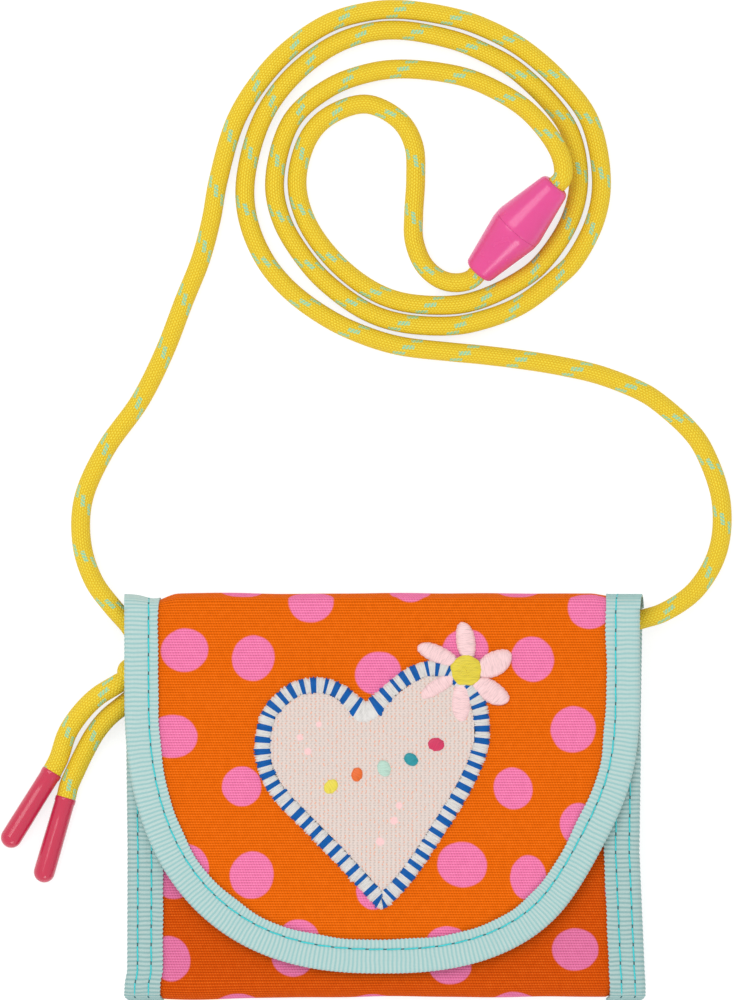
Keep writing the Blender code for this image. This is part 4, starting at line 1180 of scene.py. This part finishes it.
def make_pouch(materials):
    """The cloth and the lining: up the back, round the bottom and up to the front's mouth."""
    bottom = (BOTTOM_FOLD_Y, FOLD_MIDDLE_Z)
    path = [(LAYERS_END_Y, BACK_CLOTH_Z)]
    for y, z in arc(bottom, FRONT_CLOTH_Z - FOLD_MIDDLE_Z, 270, 90, 24):
        path.append((BOTTOM_FOLD_Y + (y - BOTTOM_FOLD_Y) * BOTTOM_BOW, z))
    # On the front, the flat place is the place seen in the photograph.
    flat_start = BOTTOM_FOLD_Y - line_length(np.array(path))
    path.append((MOUTH_CLOTH_Y, FRONT_CLOTH_Z))
    grid, flat = profile_grid(path, -CLOTH_EDGE, CLOTH_EDGE, 0.8 * MM)
    flat[:, :, 1] += flat_start
    x, y, z = np.moveaxis(grid, 2, 0)
    z += np.where(z > FOLD_MIDDLE_Z, front_lift(x, y), 0)
    wave = 0.2 * MM * swell(x, 0, 12 * MM, 1.1) - BOTTOM_SAG * bell(x + 46 * MM, 16 * MM)
    wave = wave + (BOTTOM_TUCK - wave) * ramp(np.abs(x) - 55.2 * MM, 2 * MM)
    y += ramp(BOTTOM_FOLD_Y - y, 5 * MM) * wave
    pouch = cloth_piece("pouch_cloth", grid, flat, CLOTH, materials["pouch_print"])
    fit(pouch, "pouch", "orange_cloth", "back_panel", "bottom_fold", "front_panel")
    path = [
        (LAYERS_END_Y, BACK_LINING_Z), *arc(bottom, FRONT_LINING_Z - FOLD_MIDDLE_Z, 270, 90, 20),
        (MOUTH_CLOTH_Y, FRONT_LINING_Z),
    ]
    grid, flat = profile_grid(path, -CLOTH_EDGE, CLOTH_EDGE, 1.2 * MM)
    lining = cloth_piece("pouch_lining", grid, flat, LINING, materials["lining"])
    fit(lining, "pouch", "lining_cloth", "back_lining", "lining_fold", "front_lining")


def c_section(width, low, high):
    """The middle line of a tape round an edge: (distance in from the edge, z), top leg first."""
    edge = TAPE / 2
    top, foot = high - edge, low + edge
    corner = min(TAPE_CORNER, (top - foot) / 2)
    turn = np.radians(np.linspace(0, 90, 9))
    inward = edge + corner * (1 - np.sin(turn))
    drop = corner * (1 - np.cos(turn))
    upper, lower = np.column_stack([inward, top - drop]), np.column_stack([inward, foot + drop])
    return np.vstack([(width, top), upper, lower[::-1], (width, foot)])


def binding_section(width, low, high, columns, insets, pull=1.0):
    """A binding's section, drawn in at its seams: distances in from its edge, and heights."""
    depth, z = resample(c_section(width, low, high), columns).T
    dip = 0
    for inset in insets:
        rise = 0.5 * bell(depth - inset - SEAM_RISE_INSET, SEAM_RISE_WIDTH)
        dip = dip + STITCH_DIP * (bell(depth - inset, SEAM_DIP_WIDTH) - rise)
    return depth, z - pull * dip * np.sign(z - (low + high) / 2)


def side_edge(side, y):
    """How far out the edge of a side binding is, at a place up the wallet."""
    return np.interp(y, SIDE_EDGE_Y, SIDE_EDGE_X[side])


def side_heights(y):
    """The foot and top of a side binding at a place up the wallet, closing at the bottom fold."""
    high = FRONT_TOP_Z + (SIDE_TAPE_LOW_TOP - FRONT_TOP_Z) * ramp(y - MOUTH_Y, 6 * MM)
    below = ramp(BOTTOM_FOLD_Y - y, BOTTOM_FOLD_Y - SIDE_TAPE_BOTTOM)
    squeeze = np.sqrt(np.maximum(0.0035, 1 - below**2.4))
    return FOLD_MIDDLE_Z - FOLD_MIDDLE_Z * squeeze, FOLD_MIDDLE_Z + (high - FOLD_MIDDLE_Z) * squeeze


def side_travel():
    """Places up the wallet, and how far along a side binding each one is, over its bends."""
    y = np.linspace(LAYERS_END_Y, SIDE_TAPE_BOTTOM, 3000)
    foot, high = side_heights(y)
    return y, travel(np.column_stack([y, (high - foot) / 2]))


def wobbled(s, depth, seed):
    """A place along a tape with the slight waviness of its ribs."""
    return s + TAPE_WOBBLE * swell(s, 2.5 * depth, 5 * MM, seed)


def side_tape(name, side, materials):
    """The ribbed binding of one side, taller where it takes in the front section."""
    places, travelled = side_travel()
    s = spread(0.0, travelled[-1], RIB_PITCH / 4)
    y = np.interp(s, travelled, places)
    widths = SIDE_TAPE_WIDTH - 0.6 * MM + ribbed(s, RIB_SCALLOP)
    widths = widths + 0.18 * MM * swell(y, 0, 7 * MM, 0.4 + side)
    grid, flat = [], []
    for mark, place, width in zip(s, y, widths):
        foot, high = side_heights(place)
        high = max(high, foot + 2 * TAPE + 0.05 * MM)
        pull = ramp(high - foot, 4 * MM)
        depth, z = binding_section(width, foot, high, 36, SIDE_STITCH_INSETS, pull)
        rounding = 0.9 * MM * ramp(SIDE_TAPE_BOTTOM + 1.2 * MM - place, 1.2 * MM) ** 2
        grid.append(together(side * (side_edge(side, place) - rounding - depth), place, z))
        flat.append(together(wobbled(mark, depth, 1.0 + side), depth))
    grid, flat = np.array(grid)[:, ::side], np.array(flat)[:, ::side]
    tape = cloth_piece(name, grid, flat, TAPE, materials["side_tape"], ribbed(flat[:, :, 0]))
    fit(tape, "pouch", "mint_tape", name.replace("binding", "tape"))


def flap_pull(x, y):
    """How far the flap's right side is drawn in beside its lower curve."""
    return FLAP_PULL * bell(y + 17 * MM, 17 * MM) * ramp(x, 50 * MM)


def flap_outline():
    """The flap's edge from top left to top right, its inward directions and its length so far."""
    power = 2 / FLAP_CURVE_POWER
    points = [(-FLAP_HALF_WIDTH, y) for y in np.linspace(LAYERS_END_Y, FLAP_CURVE_Y, 41)[:-1]]
    for angle in np.linspace(math.pi, 2 * math.pi, 1200):
        cosine = math.cos(angle)
        x = FLAP_HALF_WIDTH * math.copysign(abs(cosine) ** power, cosine)
        points.append((x, FLAP_CURVE_Y - FLAP_CURVE_HEIGHT * abs(math.sin(angle)) ** power))
    points += [(FLAP_HALF_WIDTH, y) for y in np.linspace(FLAP_CURVE_Y, LAYERS_END_Y, 41)[1:]]
    points = np.array(points)
    length = line_length(points)
    points = resample(points, int(round(length / (RIB_PITCH / 4))) + 1)
    points[:, 0] += FLAP_MIDDLE_X - flap_pull(points[:, 0], points[:, 1])
    along = np.gradient(points, axis=0)
    window = 9
    ended = np.vstack([along[:1]] * window + [along] + [along[-1:]] * window)
    along = unit(blurred(ended, np.ones(2 * window + 1)))
    inward = np.column_stack([-along[:, 1], along[:, 0]])
    return points, inward, np.arange(len(points)) * length / (len(points) - 1)


def make_flap(materials, outline):
    marks = outline[2]
    widths = FLAP_TAPE_WIDTH + ribbed(marks, RIB_SCALLOP) + 0.3 * MM * swell(marks, 0, 8 * MM, 2.5)
    grid, flat = [], []
    for point, inward, mark, width in zip(*outline, widths):
        depth, z = binding_section(width, FLAP_LOW_Z, FLAP_TOP_Z, 34, (FLAP_STITCH_INSET,))
        grid.append(np.column_stack([point + depth[:, None] * inward, z]))
        flat.append(together(wobbled(mark, depth, 4.0), depth))
    flat = np.array(flat)
    tape = cloth_piece("flap_binding", lift_flap(grid), flat, TAPE, materials["flap_tape"],
                       ribbed(flat[:, :, 0]))
    fit(tape, "flap", "mint_tape", "flap_tape")
    # Cloth and lining, whose edges are inside the binding
    bottom = FLAP_CURVE_Y - FLAP_CURVE_HEIGHT + 2.2 * MM
    size = (2 * FLAP_HALF_WIDTH, LAYERS_END_Y - bottom)
    for name, node, z, thickness, material, step, slot in (
        ("flap_cloth", "flap_panel", FLAP_CLOTH_Z, CLOTH, "flap_print", 0.7 * MM, "orange_cloth"),
        ("flap_inside", "flap_lining", FLAP_LINING_Z, LINING, "lining", 1.0 * MM, "lining_cloth"),
    ):
        y = spread(LAYERS_END_Y, bottom, step)[:, None]
        drop = ramp(FLAP_CURVE_Y - y, FLAP_CURVE_HEIGHT)
        half = FLAP_HALF_WIDTH * (1 - drop**FLAP_CURVE_POWER) ** (1 / FLAP_CURVE_POWER) - 1.2 * MM
        x = half * np.linspace(1, -1, int(2 * FLAP_HALF_WIDTH / step))
        x = x - flap_pull(x, y) + FLAP_MIDDLE_X
        grid = lift_flap(together(x, y, z))
        sheet = cloth_piece(name, grid, together(x, y), thickness, materials[material])
        fit(sheet, "flap", slot, node)
        0.85 * size[0] * size[1]


# Stitches


def stitch_line(name, places, ups, marks, body, thread, window=None):
    """One seam: threads from needle hole to needle hole, half sunk in the tape.

    marks are the places along the tape, so that the threads and its needle holes fall together.
    ups are the directions out of the tape. window is where the threads' middles may be.
    """
    ups = np.broadcast_to(ups, places.shape)
    rounds = np.linspace(0, 2 * math.pi, 8)
    share = np.linspace(0.09, 0.91, 9)
    ends = 2 * share - 1
    rise = STITCH_RADIUS * (0.55 - 1.5 * np.abs(ends) ** 6)
    thick = STITCH_RADIUS * np.sqrt(np.clip(1 - np.abs(ends) ** 8, 0.05, 1))
    grids, flats = [], []
    for number in range(math.floor(marks[0] / STITCH_PITCH), math.ceil(marks[-1] / STITCH_PITCH)):
        s = (number - 0.5 + share) * STITCH_PITCH
        low, high = window or (marks[0] + s[4] - s[0], marks[-1] + s[4] - s[-1])
        if not low <= s[4] < high:
            continue
        up, line = at_places(s, marks, ups), at_places(s, marks, places)
        across = np.cross(up, unit(np.gradient(line, axis=0)))
        line = line + up * rise[:, None] + across * (0.09 * MM * ends)[:, None]
        grids.append(rings(line, thick[:, None], across, up, rounds))
        flats.append(together(s[:, None], rounds * STITCH_RADIUS))
    fit(build_grids(name, grids, flats, thread, turned=True), body, "mint_tape")


def fold_seam(word, edges, marks_at, thread):
    """The seam that carries the flap's stitching on over the top fold, in the fold's two halves."""
    path = fold_path(TAPE_OFFSET)
    outer = fold_path(TAPE_OFFSET + TAPE / 2 - STITCH_DIP)
    travelled = travel(path)
    total = travelled[-1]
    past = 0.6 * STITCH_PITCH
    s = np.linspace(-past, total + past, 200)
    y, z = at_places(s, travelled, outer).T
    y = y + np.minimum(s, 0) - np.maximum(s - total, 0)
    left, right = fold_edges(edges, ramp(s, total))
    x = left + FLAP_STITCH_INSET if word == "left" else right - FLAP_STITCH_INSET
    stretch = np.where(y > LAYERS_END_Y, fold_stretch(x, path, TAPE_OUT), 1)
    y = LAYERS_END_Y + (y - LAYERS_END_Y) * stretch
    ups = unit(np.column_stack([0 * y, np.gradient(z), -np.gradient(y)]))
    places = np.column_stack([x, y, z])
    marks = marks_at(s, total)
    order = np.argsort(marks)
    half = 0.41 * STITCH_PITCH
    for part, window in (("low", (half, total / 2)), ("high", (total / 2, total + half))):
        window = sorted(marks_at(np.array(window), total))
        stitch_line(f"fold_seam_{word}_{part}", places[order], ups[order], marks[order],
                    FOLD_BENDS[part], thread, window)


def make_stitches(thread, outline):
    points, inward, s = outline
    line = points + FLAP_STITCH_INSET * inward
    for name, z, up in (
        ("flap_seam", FLAP_TOP_Z - STITCH_DIP, 1), ("flap_inner_seam", FLAP_LOW_Z + STITCH_DIP, -1),
    ):
        places = lift_flap(together(line[:, 0], line[:, 1], z))
        stitch_line(name, places, (0, 0, up), s, "flap", thread)
    y, marks = (values[::10] for values in side_travel())
    foot, high = side_heights(y)
    for side, word in ((-1, "left"), (1, "right")):
        for number, inset in enumerate(SIDE_STITCH_INSETS, 1):
            x = side * (side_edge(side, y) - inset)
            for face, z, up in (
                ("front", high - STITCH_DIP, 1),
                ("back", np.maximum(foot + STITCH_DIP, 1.6 * STITCH_RADIUS), -1),
            ):
                stitch_line(f"side_seam_{word}_{number}_{face}", np.column_stack([x, y, z]),
                            (0, 0, up), marks, "pouch", thread)


# Embroidery


def heart_line():
    """The heart's outline at even steps, with its inward directions."""
    points = np.concatenate([
        smooth_line(np.array(HEART_MIDDLE) + np.array(lobe) * HEART_SIZE, 10)[:-1]
        for lobe in (LEFT_LOBE_SHARES, RIGHT_LOBE_SHARES)
    ])
    points = np.vstack([points, points[:1]])
    steps = int(round(line_length(points) / BAR_PITCH)) * BAR_STEPS
    points = resample(points, steps + 1)[:-1]
    # The tip is rounded, a little more than the drawn outline.
    smooth = blurred_loop(points, TIP_SMOOTHING)
    tip = points[points[:, 1].argmin()]
    near = bell(np.hypot(*(points - tip).T), TIP_REACH)[:, None]
    points = points + (smooth - points) * near - np.array((0, TIP_DROP)) * near
    points = resample(np.vstack([points, points[:1]]), steps + 1)[:-1]
    ahead = np.roll(points, -1, axis=0) - points
    inward = unit(blurred_loop(np.column_stack([-ahead[:, 1], ahead[:, 0]]), 13))
    return points, inward


def make_heart(materials):
    points, inward = heart_line()
    # Border: a low dome of thread, with one ridge for every two points of the outline
    count = len(points)
    number = np.arange(count)
    rng = np.random.default_rng(7)
    jitter_out = rng.normal(0, SATIN_JITTER_OUT, count // 2)[number // 2]
    jitter_in = rng.normal(0, SATIN_JITTER_IN, count // 2)[number // 2]
    from_notch = np.hypot(*(points - photo_place(NOTCH_PIXEL)).T)
    start = jitter_out - SATIN_JITTER_OUT
    end = BORDER_WIDTH + jitter_in + NOTCH_FILL * bell(from_notch, NOTCH_REACH)
    shares = np.linspace(0, 1, 11)
    depth = start[:, None] + shares * (end - start)[:, None]
    place = points[:, None] + depth[:, :, None] * inward[:, None]
    dome = (1 - np.abs(2 * shares - 1) ** 2.6) ** 0.5
    ridge = (number % 2 - 0.5)[:, None] * SATIN_RIDGE * (0.3 + dome)
    z = PATCH_LOW_Z + (BORDER_TOP_Z - PATCH_LOW_Z) * dome + ridge
    grid = together(place[:, :, 0], place[:, :, 1], z)
    flat = together(depth, number[:, None] * THREAD_PITCH / 2)
    grid = np.concatenate([grid, grid[:1]])
    flat = np.concatenate([flat, flat[-1:]])
    bar = (number // 2 + 7) % (BAR_STEPS // 2)
    wander = rng.integers(0, 7, count)[number // BAR_STEPS * BAR_STEPS]
    blue = bar < BLUE_SHARE * (BAR_STEPS // 2) + np.array((0, 1, 0, 1, -1, 1, 0))[wander]
    slots = np.repeat(np.where(blue, 1, 0), len(shares) - 1)
    border = build("heart_satin_border", lift_flap(grid), grid_quads(count + 1, len(shares)), flat,
                   materials["white_thread"], materials["blue_thread"], face_slots=slots)
    fit(border, "flap", "blue_thread", "heart_border")
    # Cream field: rows of thread inside the border
    inner = points + (BORDER_WIDTH - 0.5 * MM) * inward
    low, high = inner.min(axis=0), inner.max(axis=0)
    x, y = np.meshgrid(*(spread(low[i], high[i], FIELD_ROW_PITCH / 4) for i in (0, 1)))
    sway = FIELD_SWAY / 2 * (1 + np.sin(2 * math.pi * y / FIELD_SWAY_PITCH))
    rows = 1 - np.cos(math.pi * (x + sway) / FIELD_ROW_PITCH) ** 2
    z = FIELD_Z + 0.10 * MM * rows + 0.05 * MM * np.sin(2 * math.pi * y / FIELD_STITCH_PITCH)
    quads = grid_quads(*x.shape)
    quads = quads[points_inside(x, y, inner).ravel()[quads].all(axis=1)]
    used, renumbered = np.unique(quads, return_inverse=True)
    field = together(x, y, z).reshape(-1, 3)[used]
    field = build("heart_cream_field", lift_flap(field), renumbered.reshape(-1, 4), field[:, :2],
                  materials["field"])
    fit(field, "flap", "cream_thread", "heart_patch")


def satin_mound(middle, half_length, half_breadth, direction, low, top, slant, phase, power=2.0):
    """A stitched oval: a low mound crossed by ridges of thread. Gives its grid and flat places."""
    number = np.arange(int(2 * half_length / (THREAD_PITCH / 2)) + 1)[:, None]
    u = np.linspace(-0.995, 0.995, len(number))[:, None]
    v = np.linspace(-1, 1, 15)
    fray = 0.11 * MM * np.sin(number * 2.4 + phase) * (number % 2)
    half = half_breadth * (1 - np.abs(u) ** power) ** (1 / power) + fray
    a = u * half_length + slant * v * half
    b = v * half
    turn = math.radians(direction)
    x = middle[0] + a * math.cos(turn) - b * math.sin(turn)
    y = middle[1] + a * math.sin(turn) + b * math.cos(turn)
    dome = np.sqrt(np.clip(1 - np.abs(v) ** 2.4, 0, 1)) * np.sqrt(np.clip(1 - np.abs(u) ** 6, 0, 1))
    ridge = (number % 2 * 2 - 1) * 0.045 * MM
    return together(x, y, low + (top - low + ridge) * dome), together(b, a)


def make_flower(materials):
    mounds = []
    for number, (direction, reach, length, breadth) in enumerate(PETALS):
        away = reach - length / 2
        turn = math.radians(direction)
        middle = FLOWER_MIDDLE + away * np.array((math.cos(turn), math.sin(turn)))
        mounds.append(satin_mound(
            middle, length / 2, breadth / 2, direction, PATCH_LOW_Z + 0.1 * MM,
            FLOWER_TOP_Z - 0.03 * MM * number, 0.45, number, 2.3,
        ))
    grids, flats = zip(*mounds)
    grids = [lift_flap(grid) for grid in grids]
    petals = build_grids("flower_petals", grids, flats, materials["petal"])
    fit(petals, "flap", "petal_thread", "flower")
    # The centre is stitched round and round.
    radius = np.linspace(0.02, 1, 30)[:, None]
    turn = np.linspace(0, 2 * math.pi, 97)
    edge = 1 + 0.03 * np.sin(5 * turn) + 0.02 * np.sin(9 * turn + 1)
    x = FLOWER_MIDDLE[0] + FLOWER_CENTRE_RADIUS * radius * np.cos(turn) * edge
    y = FLOWER_MIDDLE[1] + FLOWER_CENTRE_RADIUS * radius * np.sin(turn) * edge
    ridge = 0.05 * MM * np.sin((x + 0.5 * y) / (0.07 * MM))
    ridge = ridge + 0.04 * MM * np.sin((y - 0.8 * x) / (0.11 * MM))
    dome = FLOWER_CENTRE_DOME * np.sqrt(1 - 0.98 * radius**3)
    z = FLOWER_CENTRE_Z + dome + ridge * (1 - radius**4)
    centre = build_grids("flower_middle", [lift_flap(together(x, y, z))], [together(x, y)],
                         materials["flower_yellow"])
    fit(centre, "flap", "yellow_thread", "flower_centre")


def make_spots(materials):
    for number, (pixel, radius, colour) in enumerate(SPOTS):
        grid, flat = satin_mound(photo_place(pixel), radius, radius * 0.92, 25 + 31 * number,
                                 FIELD_Z - 0.1 * MM, FIELD_Z + 0.55 * MM, 0.2, number)
        spot = build_grids(colour, [lift_flap(grid)], [flat], materials[colour])
        fit(spot, "flap", "cream_thread")


# Inside


def make_inside(materials):
    """The mouth binding, card pocket, cord channel and the hook and loop pads."""
    half = HALF_WIDTH - SIDE_TAPE_WIDTH - 0.3 * MM
    low = FRONT_LINING_Z - LINING / 2 - 0.8 * MM
    depth, z = resample(c_section(MOUTH_TAPE_WIDTH, low, FRONT_TOP_Z), 24)[::-1].T
    x = spread(-half, half, RIB_PITCH / 4)
    marks = x + half
    grid = together(x[:, None], MOUTH_Y - depth, z)
    flat = together(marks[:, None], depth)
    ribs = ribbed(marks[:, None])
    binding = cloth_piece("mouth_binding", grid, flat, TAPE, materials["mouth_tape"], ribs)
    fit(binding, "pouch", "mint_tape", "mouth_tape")
    line = together(x, MOUTH_Y - MOUTH_STITCH_INSET, FRONT_TOP_Z - 0.6 * STITCH_RADIUS)
    stitch_line("mouth_seam", line, (0, 0, 1), marks, "pouch", materials["turquoise"])
    room = CORD_RADIUS + 0.5 * MM
    tunnel = [
        (CHANNEL_Y + room + CHANNEL_MARGIN, CHANNEL_Z), (CHANNEL_Y + room, CHANNEL_Z + 0.2 * MM),
        *arc((CHANNEL_Y, CHANNEL_CORD_Z), room, 0, 180, 20),
        (CHANNEL_Y - room, CHANNEL_Z + 0.2 * MM), (CHANNEL_Y - room - CHANNEL_MARGIN, CHANNEL_Z),
    ]
    pocket = [(POCKET_TOP_Y, POCKET_Z), (POCKET_BOTTOM_Y, POCKET_Z)]
    hem = [(POCKET_TOP_Y, HEM_Z), (POCKET_TOP_Y - HEM_WIDTH, HEM_Z)]
    for name, node, path, across, step, material, slot in (
        ("card_slot", "card_pocket", pocket, POCKET_X, 1.5 * MM, "lining", "lining_cloth"),
        ("card_slot_hem", "card_pocket_hem", hem, POCKET_X, 0.8 * MM, "plain_tape", "mint_tape"),
        ("cord_tunnel", "cord_channel", tunnel, CHANNEL_X, 0.5 * MM, "plain_tape", "mint_tape"),
    ):
        piece = cloth_piece(name, *profile_grid(path, *across, step), LINING, materials[material])
        fit(piece, "pouch", slot, node)
    x, y = np.meshgrid(spread(*PAD_X, 0.35 * MM), spread(*PAD_Y, 0.35 * MM))
    nap = 0.08 * MM * np.sin(x / (0.22 * MM)) * np.sin(y / (0.25 * MM))
    thickness = TAPE - 0.1 * MM
    for name, node, z, body in (
        ("hook_face", "hook_pad", FRONT_TOP_Z - TAPE / 2, "pouch"),
        ("loop_face", "loop_pad", FLAP_LOW_Z + TAPE / 2, "flap"),
    ):
        pad = cloth_piece(name, together(x, y, z), together(x, y), thickness, materials[node], nap)
        fit(pad, body, node, node)


# Stage


def make_stage():
    floor = bpy.data.meshes.new("floor")
    corners = FLOOR_REACH * np.array([(-1, -1, 0), (1, -1, 0), (1, 1, 0), (-1, 1, 0)])
    floor.from_pydata(corners.tolist(), [], [(0, 1, 2, 3)])
    looks = Looks("white_floor", 0.9)
    seen = looks.node("LightPath", {}, "Is Camera Ray")
    for ray in ("Is Glossy Ray", "Is Transmission Ray"):
        seen = looks.math("MAXIMUM", seen, looks.node("LightPath", {}, ray))
    looks.apply("Base Color", looks.mix(seen, (*FLOOR_WHITE, 1), (*FLOOR_SEEN_GREY, 1)))
    looks.apply("Emission Color", (1, 1, 1, 1))
    looks.apply("Emission Strength", seen * FLOOR_GLOW)
    floor.materials.append(looks.material)
    add_object("floor", floor)
    world = bpy.data.worlds.new("studio")
    world.use_nodes = True
    background = world.node_tree.nodes["Background"]
    background.inputs["Color"].default_value = (1, 1, 1, 1)
    background.inputs["Strength"].default_value = WORLD_STRENGTH
    bpy.context.scene.world = world
    for name, place, size, power in LAMPS:
        data = bpy.data.lights.new(name, "AREA")
        data.shape = "SQUARE"
        data.size = size
        data.energy = power
        lamp = add_object(name, data)
        lamp.location = place
        x, y, z = np.array(LAMP_AIM) - np.array(place)
        lamp.rotation_euler = (math.atan2(math.hypot(x, y), -z), 0, math.atan2(y, x) - math.pi / 2)
    bpy.context.scene.view_settings.view_transform = "Standard"


def placed_dots(dots):
    return [
        (*photo_place(pixel), wide * PIXEL, high * PIXEL, turn) for pixel, wide, high, turn in dots
    ]


def back_dots():
    """Staggered rows of dots for the back, which the photograph doesn't show."""
    across, down = BACK_DOT_PITCH
    dots = []
    for row in range(7):
        for column in range(-4, 5):
            x = (column + 0.5 * (row % 2)) * across + 1.5 * MM * math.sin(5.1 * row + 2.7 * column)
            y = BOTTOM_Y - 15 * MM - row * down + 1.2 * MM * math.sin(3.3 * column + row)
            if abs(x) < 62 * MM:
                dots.append((x, y, BACK_DOT_RADIUS, BACK_DOT_RADIUS * 1.04, 20 * row))
    return dots


def fold_dots():
    """Dots that carry the print on over the top fold."""
    dots = []
    for column in range(-3, 4):
        x = column * BACK_DOT_PITCH[0] + 4 * MM
        y = FOLD_DOTS_Y + 1.5 * MM * math.sin(2.9 * column)
        dots.append((x, y, BACK_DOT_RADIUS, BACK_DOT_RADIUS, 0))
    return dots


def make_materials():
    flap_dots = placed_dots(FLAP_DOTS)
    pouch_dots = placed_dots(FRONT_DOTS) + back_dots()
    made = {
        "flap_print": printed_cloth("flap_print", flap_dots),
        # The pouch's print is darker all over (tone 0.94 and a darker orange): painted shade under
        # the flap
        "pouch_print": printed_cloth("pouch_print", pouch_dots, 0.3, 0.94, ORANGE_PAINTED_SHADE),
        "fold_print": printed_cloth("fold_print", flap_dots + fold_dots()),
        "lining": plain_cloth("lining_weave", LINING_ORANGE),
        "flap_tape": ribbed_tape("flap_grosgrain", (FLAP_STITCH_INSET,)),
        # The side tapes are painted darker: painted shade, as they lie lower than the flap
        "side_tape": ribbed_tape("side_grosgrain", SIDE_STITCH_INSETS, 0.94, 0.87),
        "mouth_tape": ribbed_tape("mouth_grosgrain", (MOUTH_STITCH_INSET,)),
        "plain_tape": ribbed_tape("plain_grosgrain", ()),
        "fold_tape": ribbed_tape("fold_grosgrain", (FLAP_STITCH_INSET,)),
        "turquoise": satin_thread("turquoise_thread", TURQUOISE, 0.5, 0.5),
        "white_thread": satin_thread("white_satin", WHITE_THREAD),
        "blue_thread": satin_thread("blue_satin", BLUE_THREAD, gloss=0.3),
        "petal": satin_thread("petal_satin", PETAL),
        "flower_yellow": satin_thread("yellow_satin", FLOWER_YELLOW),
        "field": stitched_field(),
        "braid": braided_cord(),
        "clasp": moulded("clasp_plastic", CLASP_PINK, 0.24),
        "tip": moulded("tip_plastic", TIP_CRIMSON, 0.15),
        "hook_pad": pad_nap("hook_nap", HOOK_WHITE, 0.9 * MM, 0.6),
        "loop_pad": pad_nap("loop_nap", LOOP_WHITE, 1.3 * MM, 0.9),
    }
    for name, colour in SPOT_COLOURS.items():
        made[name] = satin_thread(name, colour)
    return made


def main():
    make_camera()
    materials = make_materials()
    cords = make_cords(materials["braid"])
    knot = make_knot(materials["braid"])
    socket, plug = make_clasp(materials["clasp"])
    tips = make_tips(materials["tip"])
    for (cord, line), far_end, lay, others in zip(
        cords, ("object", "fitting", "fitting"), ("loose", "coiled", "coiled"),
        ([plug], [knot, tips[0]], [socket, tips[1]]),
    ):
        evenly(line, 2 * MM)
    make_pouch(materials)
    side_tape("side_binding_left", -1, materials)
    side_tape("side_binding_right", 1, materials)
    outline = flap_outline()
    make_flap(materials, outline)
    whole = ((-CLOTH_EDGE, CLOTH_EDGE), (-CLOTH_EDGE, CLOTH_EDGE))
    fold_halves("top_fold_cloth", 0.0, whole, CLOTH, materials["fold_print"], "orange_cloth",
                "fold_cloth")
    fold_halves("top_fold_lining", LINING_OFFSET, whole, LINING, materials["lining"],
                "lining_cloth", "fold_lining", out=LINING_OFFSET)
    back_inner = HALF_WIDTH - SIDE_TAPE_WIDTH
    flap_left = FLAP_MIDDLE_X - FLAP_HALF_WIDTH
    flap_right = FLAP_MIDDLE_X + FLAP_HALF_WIDTH
    left_edges = ((-HALF_WIDTH, -back_inner), (flap_left, flap_left + FLAP_TAPE_WIDTH))
    right_edges = ((back_inner, HALF_WIDTH), (flap_right - FLAP_TAPE_WIDTH, flap_right))
    seam_end = outline[2][-1]
    for word, edges, marks_at in (
        ("left", left_edges, lambda s, total: s - total),
        ("right", right_edges, lambda s, total: seam_end + total - s),
    ):
        fold_halves(f"top_fold_binding_{word}", TAPE_OFFSET, edges, TAPE, materials["fold_tape"],
                    "mint_tape", f"fold_tape_{word}", marks_at, TAPE_OUT, word == "right")
        fold_seam(word, edges, marks_at, materials["turquoise"])
    make_stitches(materials["turquoise"], outline)
    make_heart(materials)
    make_flower(materials)
    make_spots(materials)
    make_inside(materials)
    make_stage()


main()
bpy.context.view_layer.update()
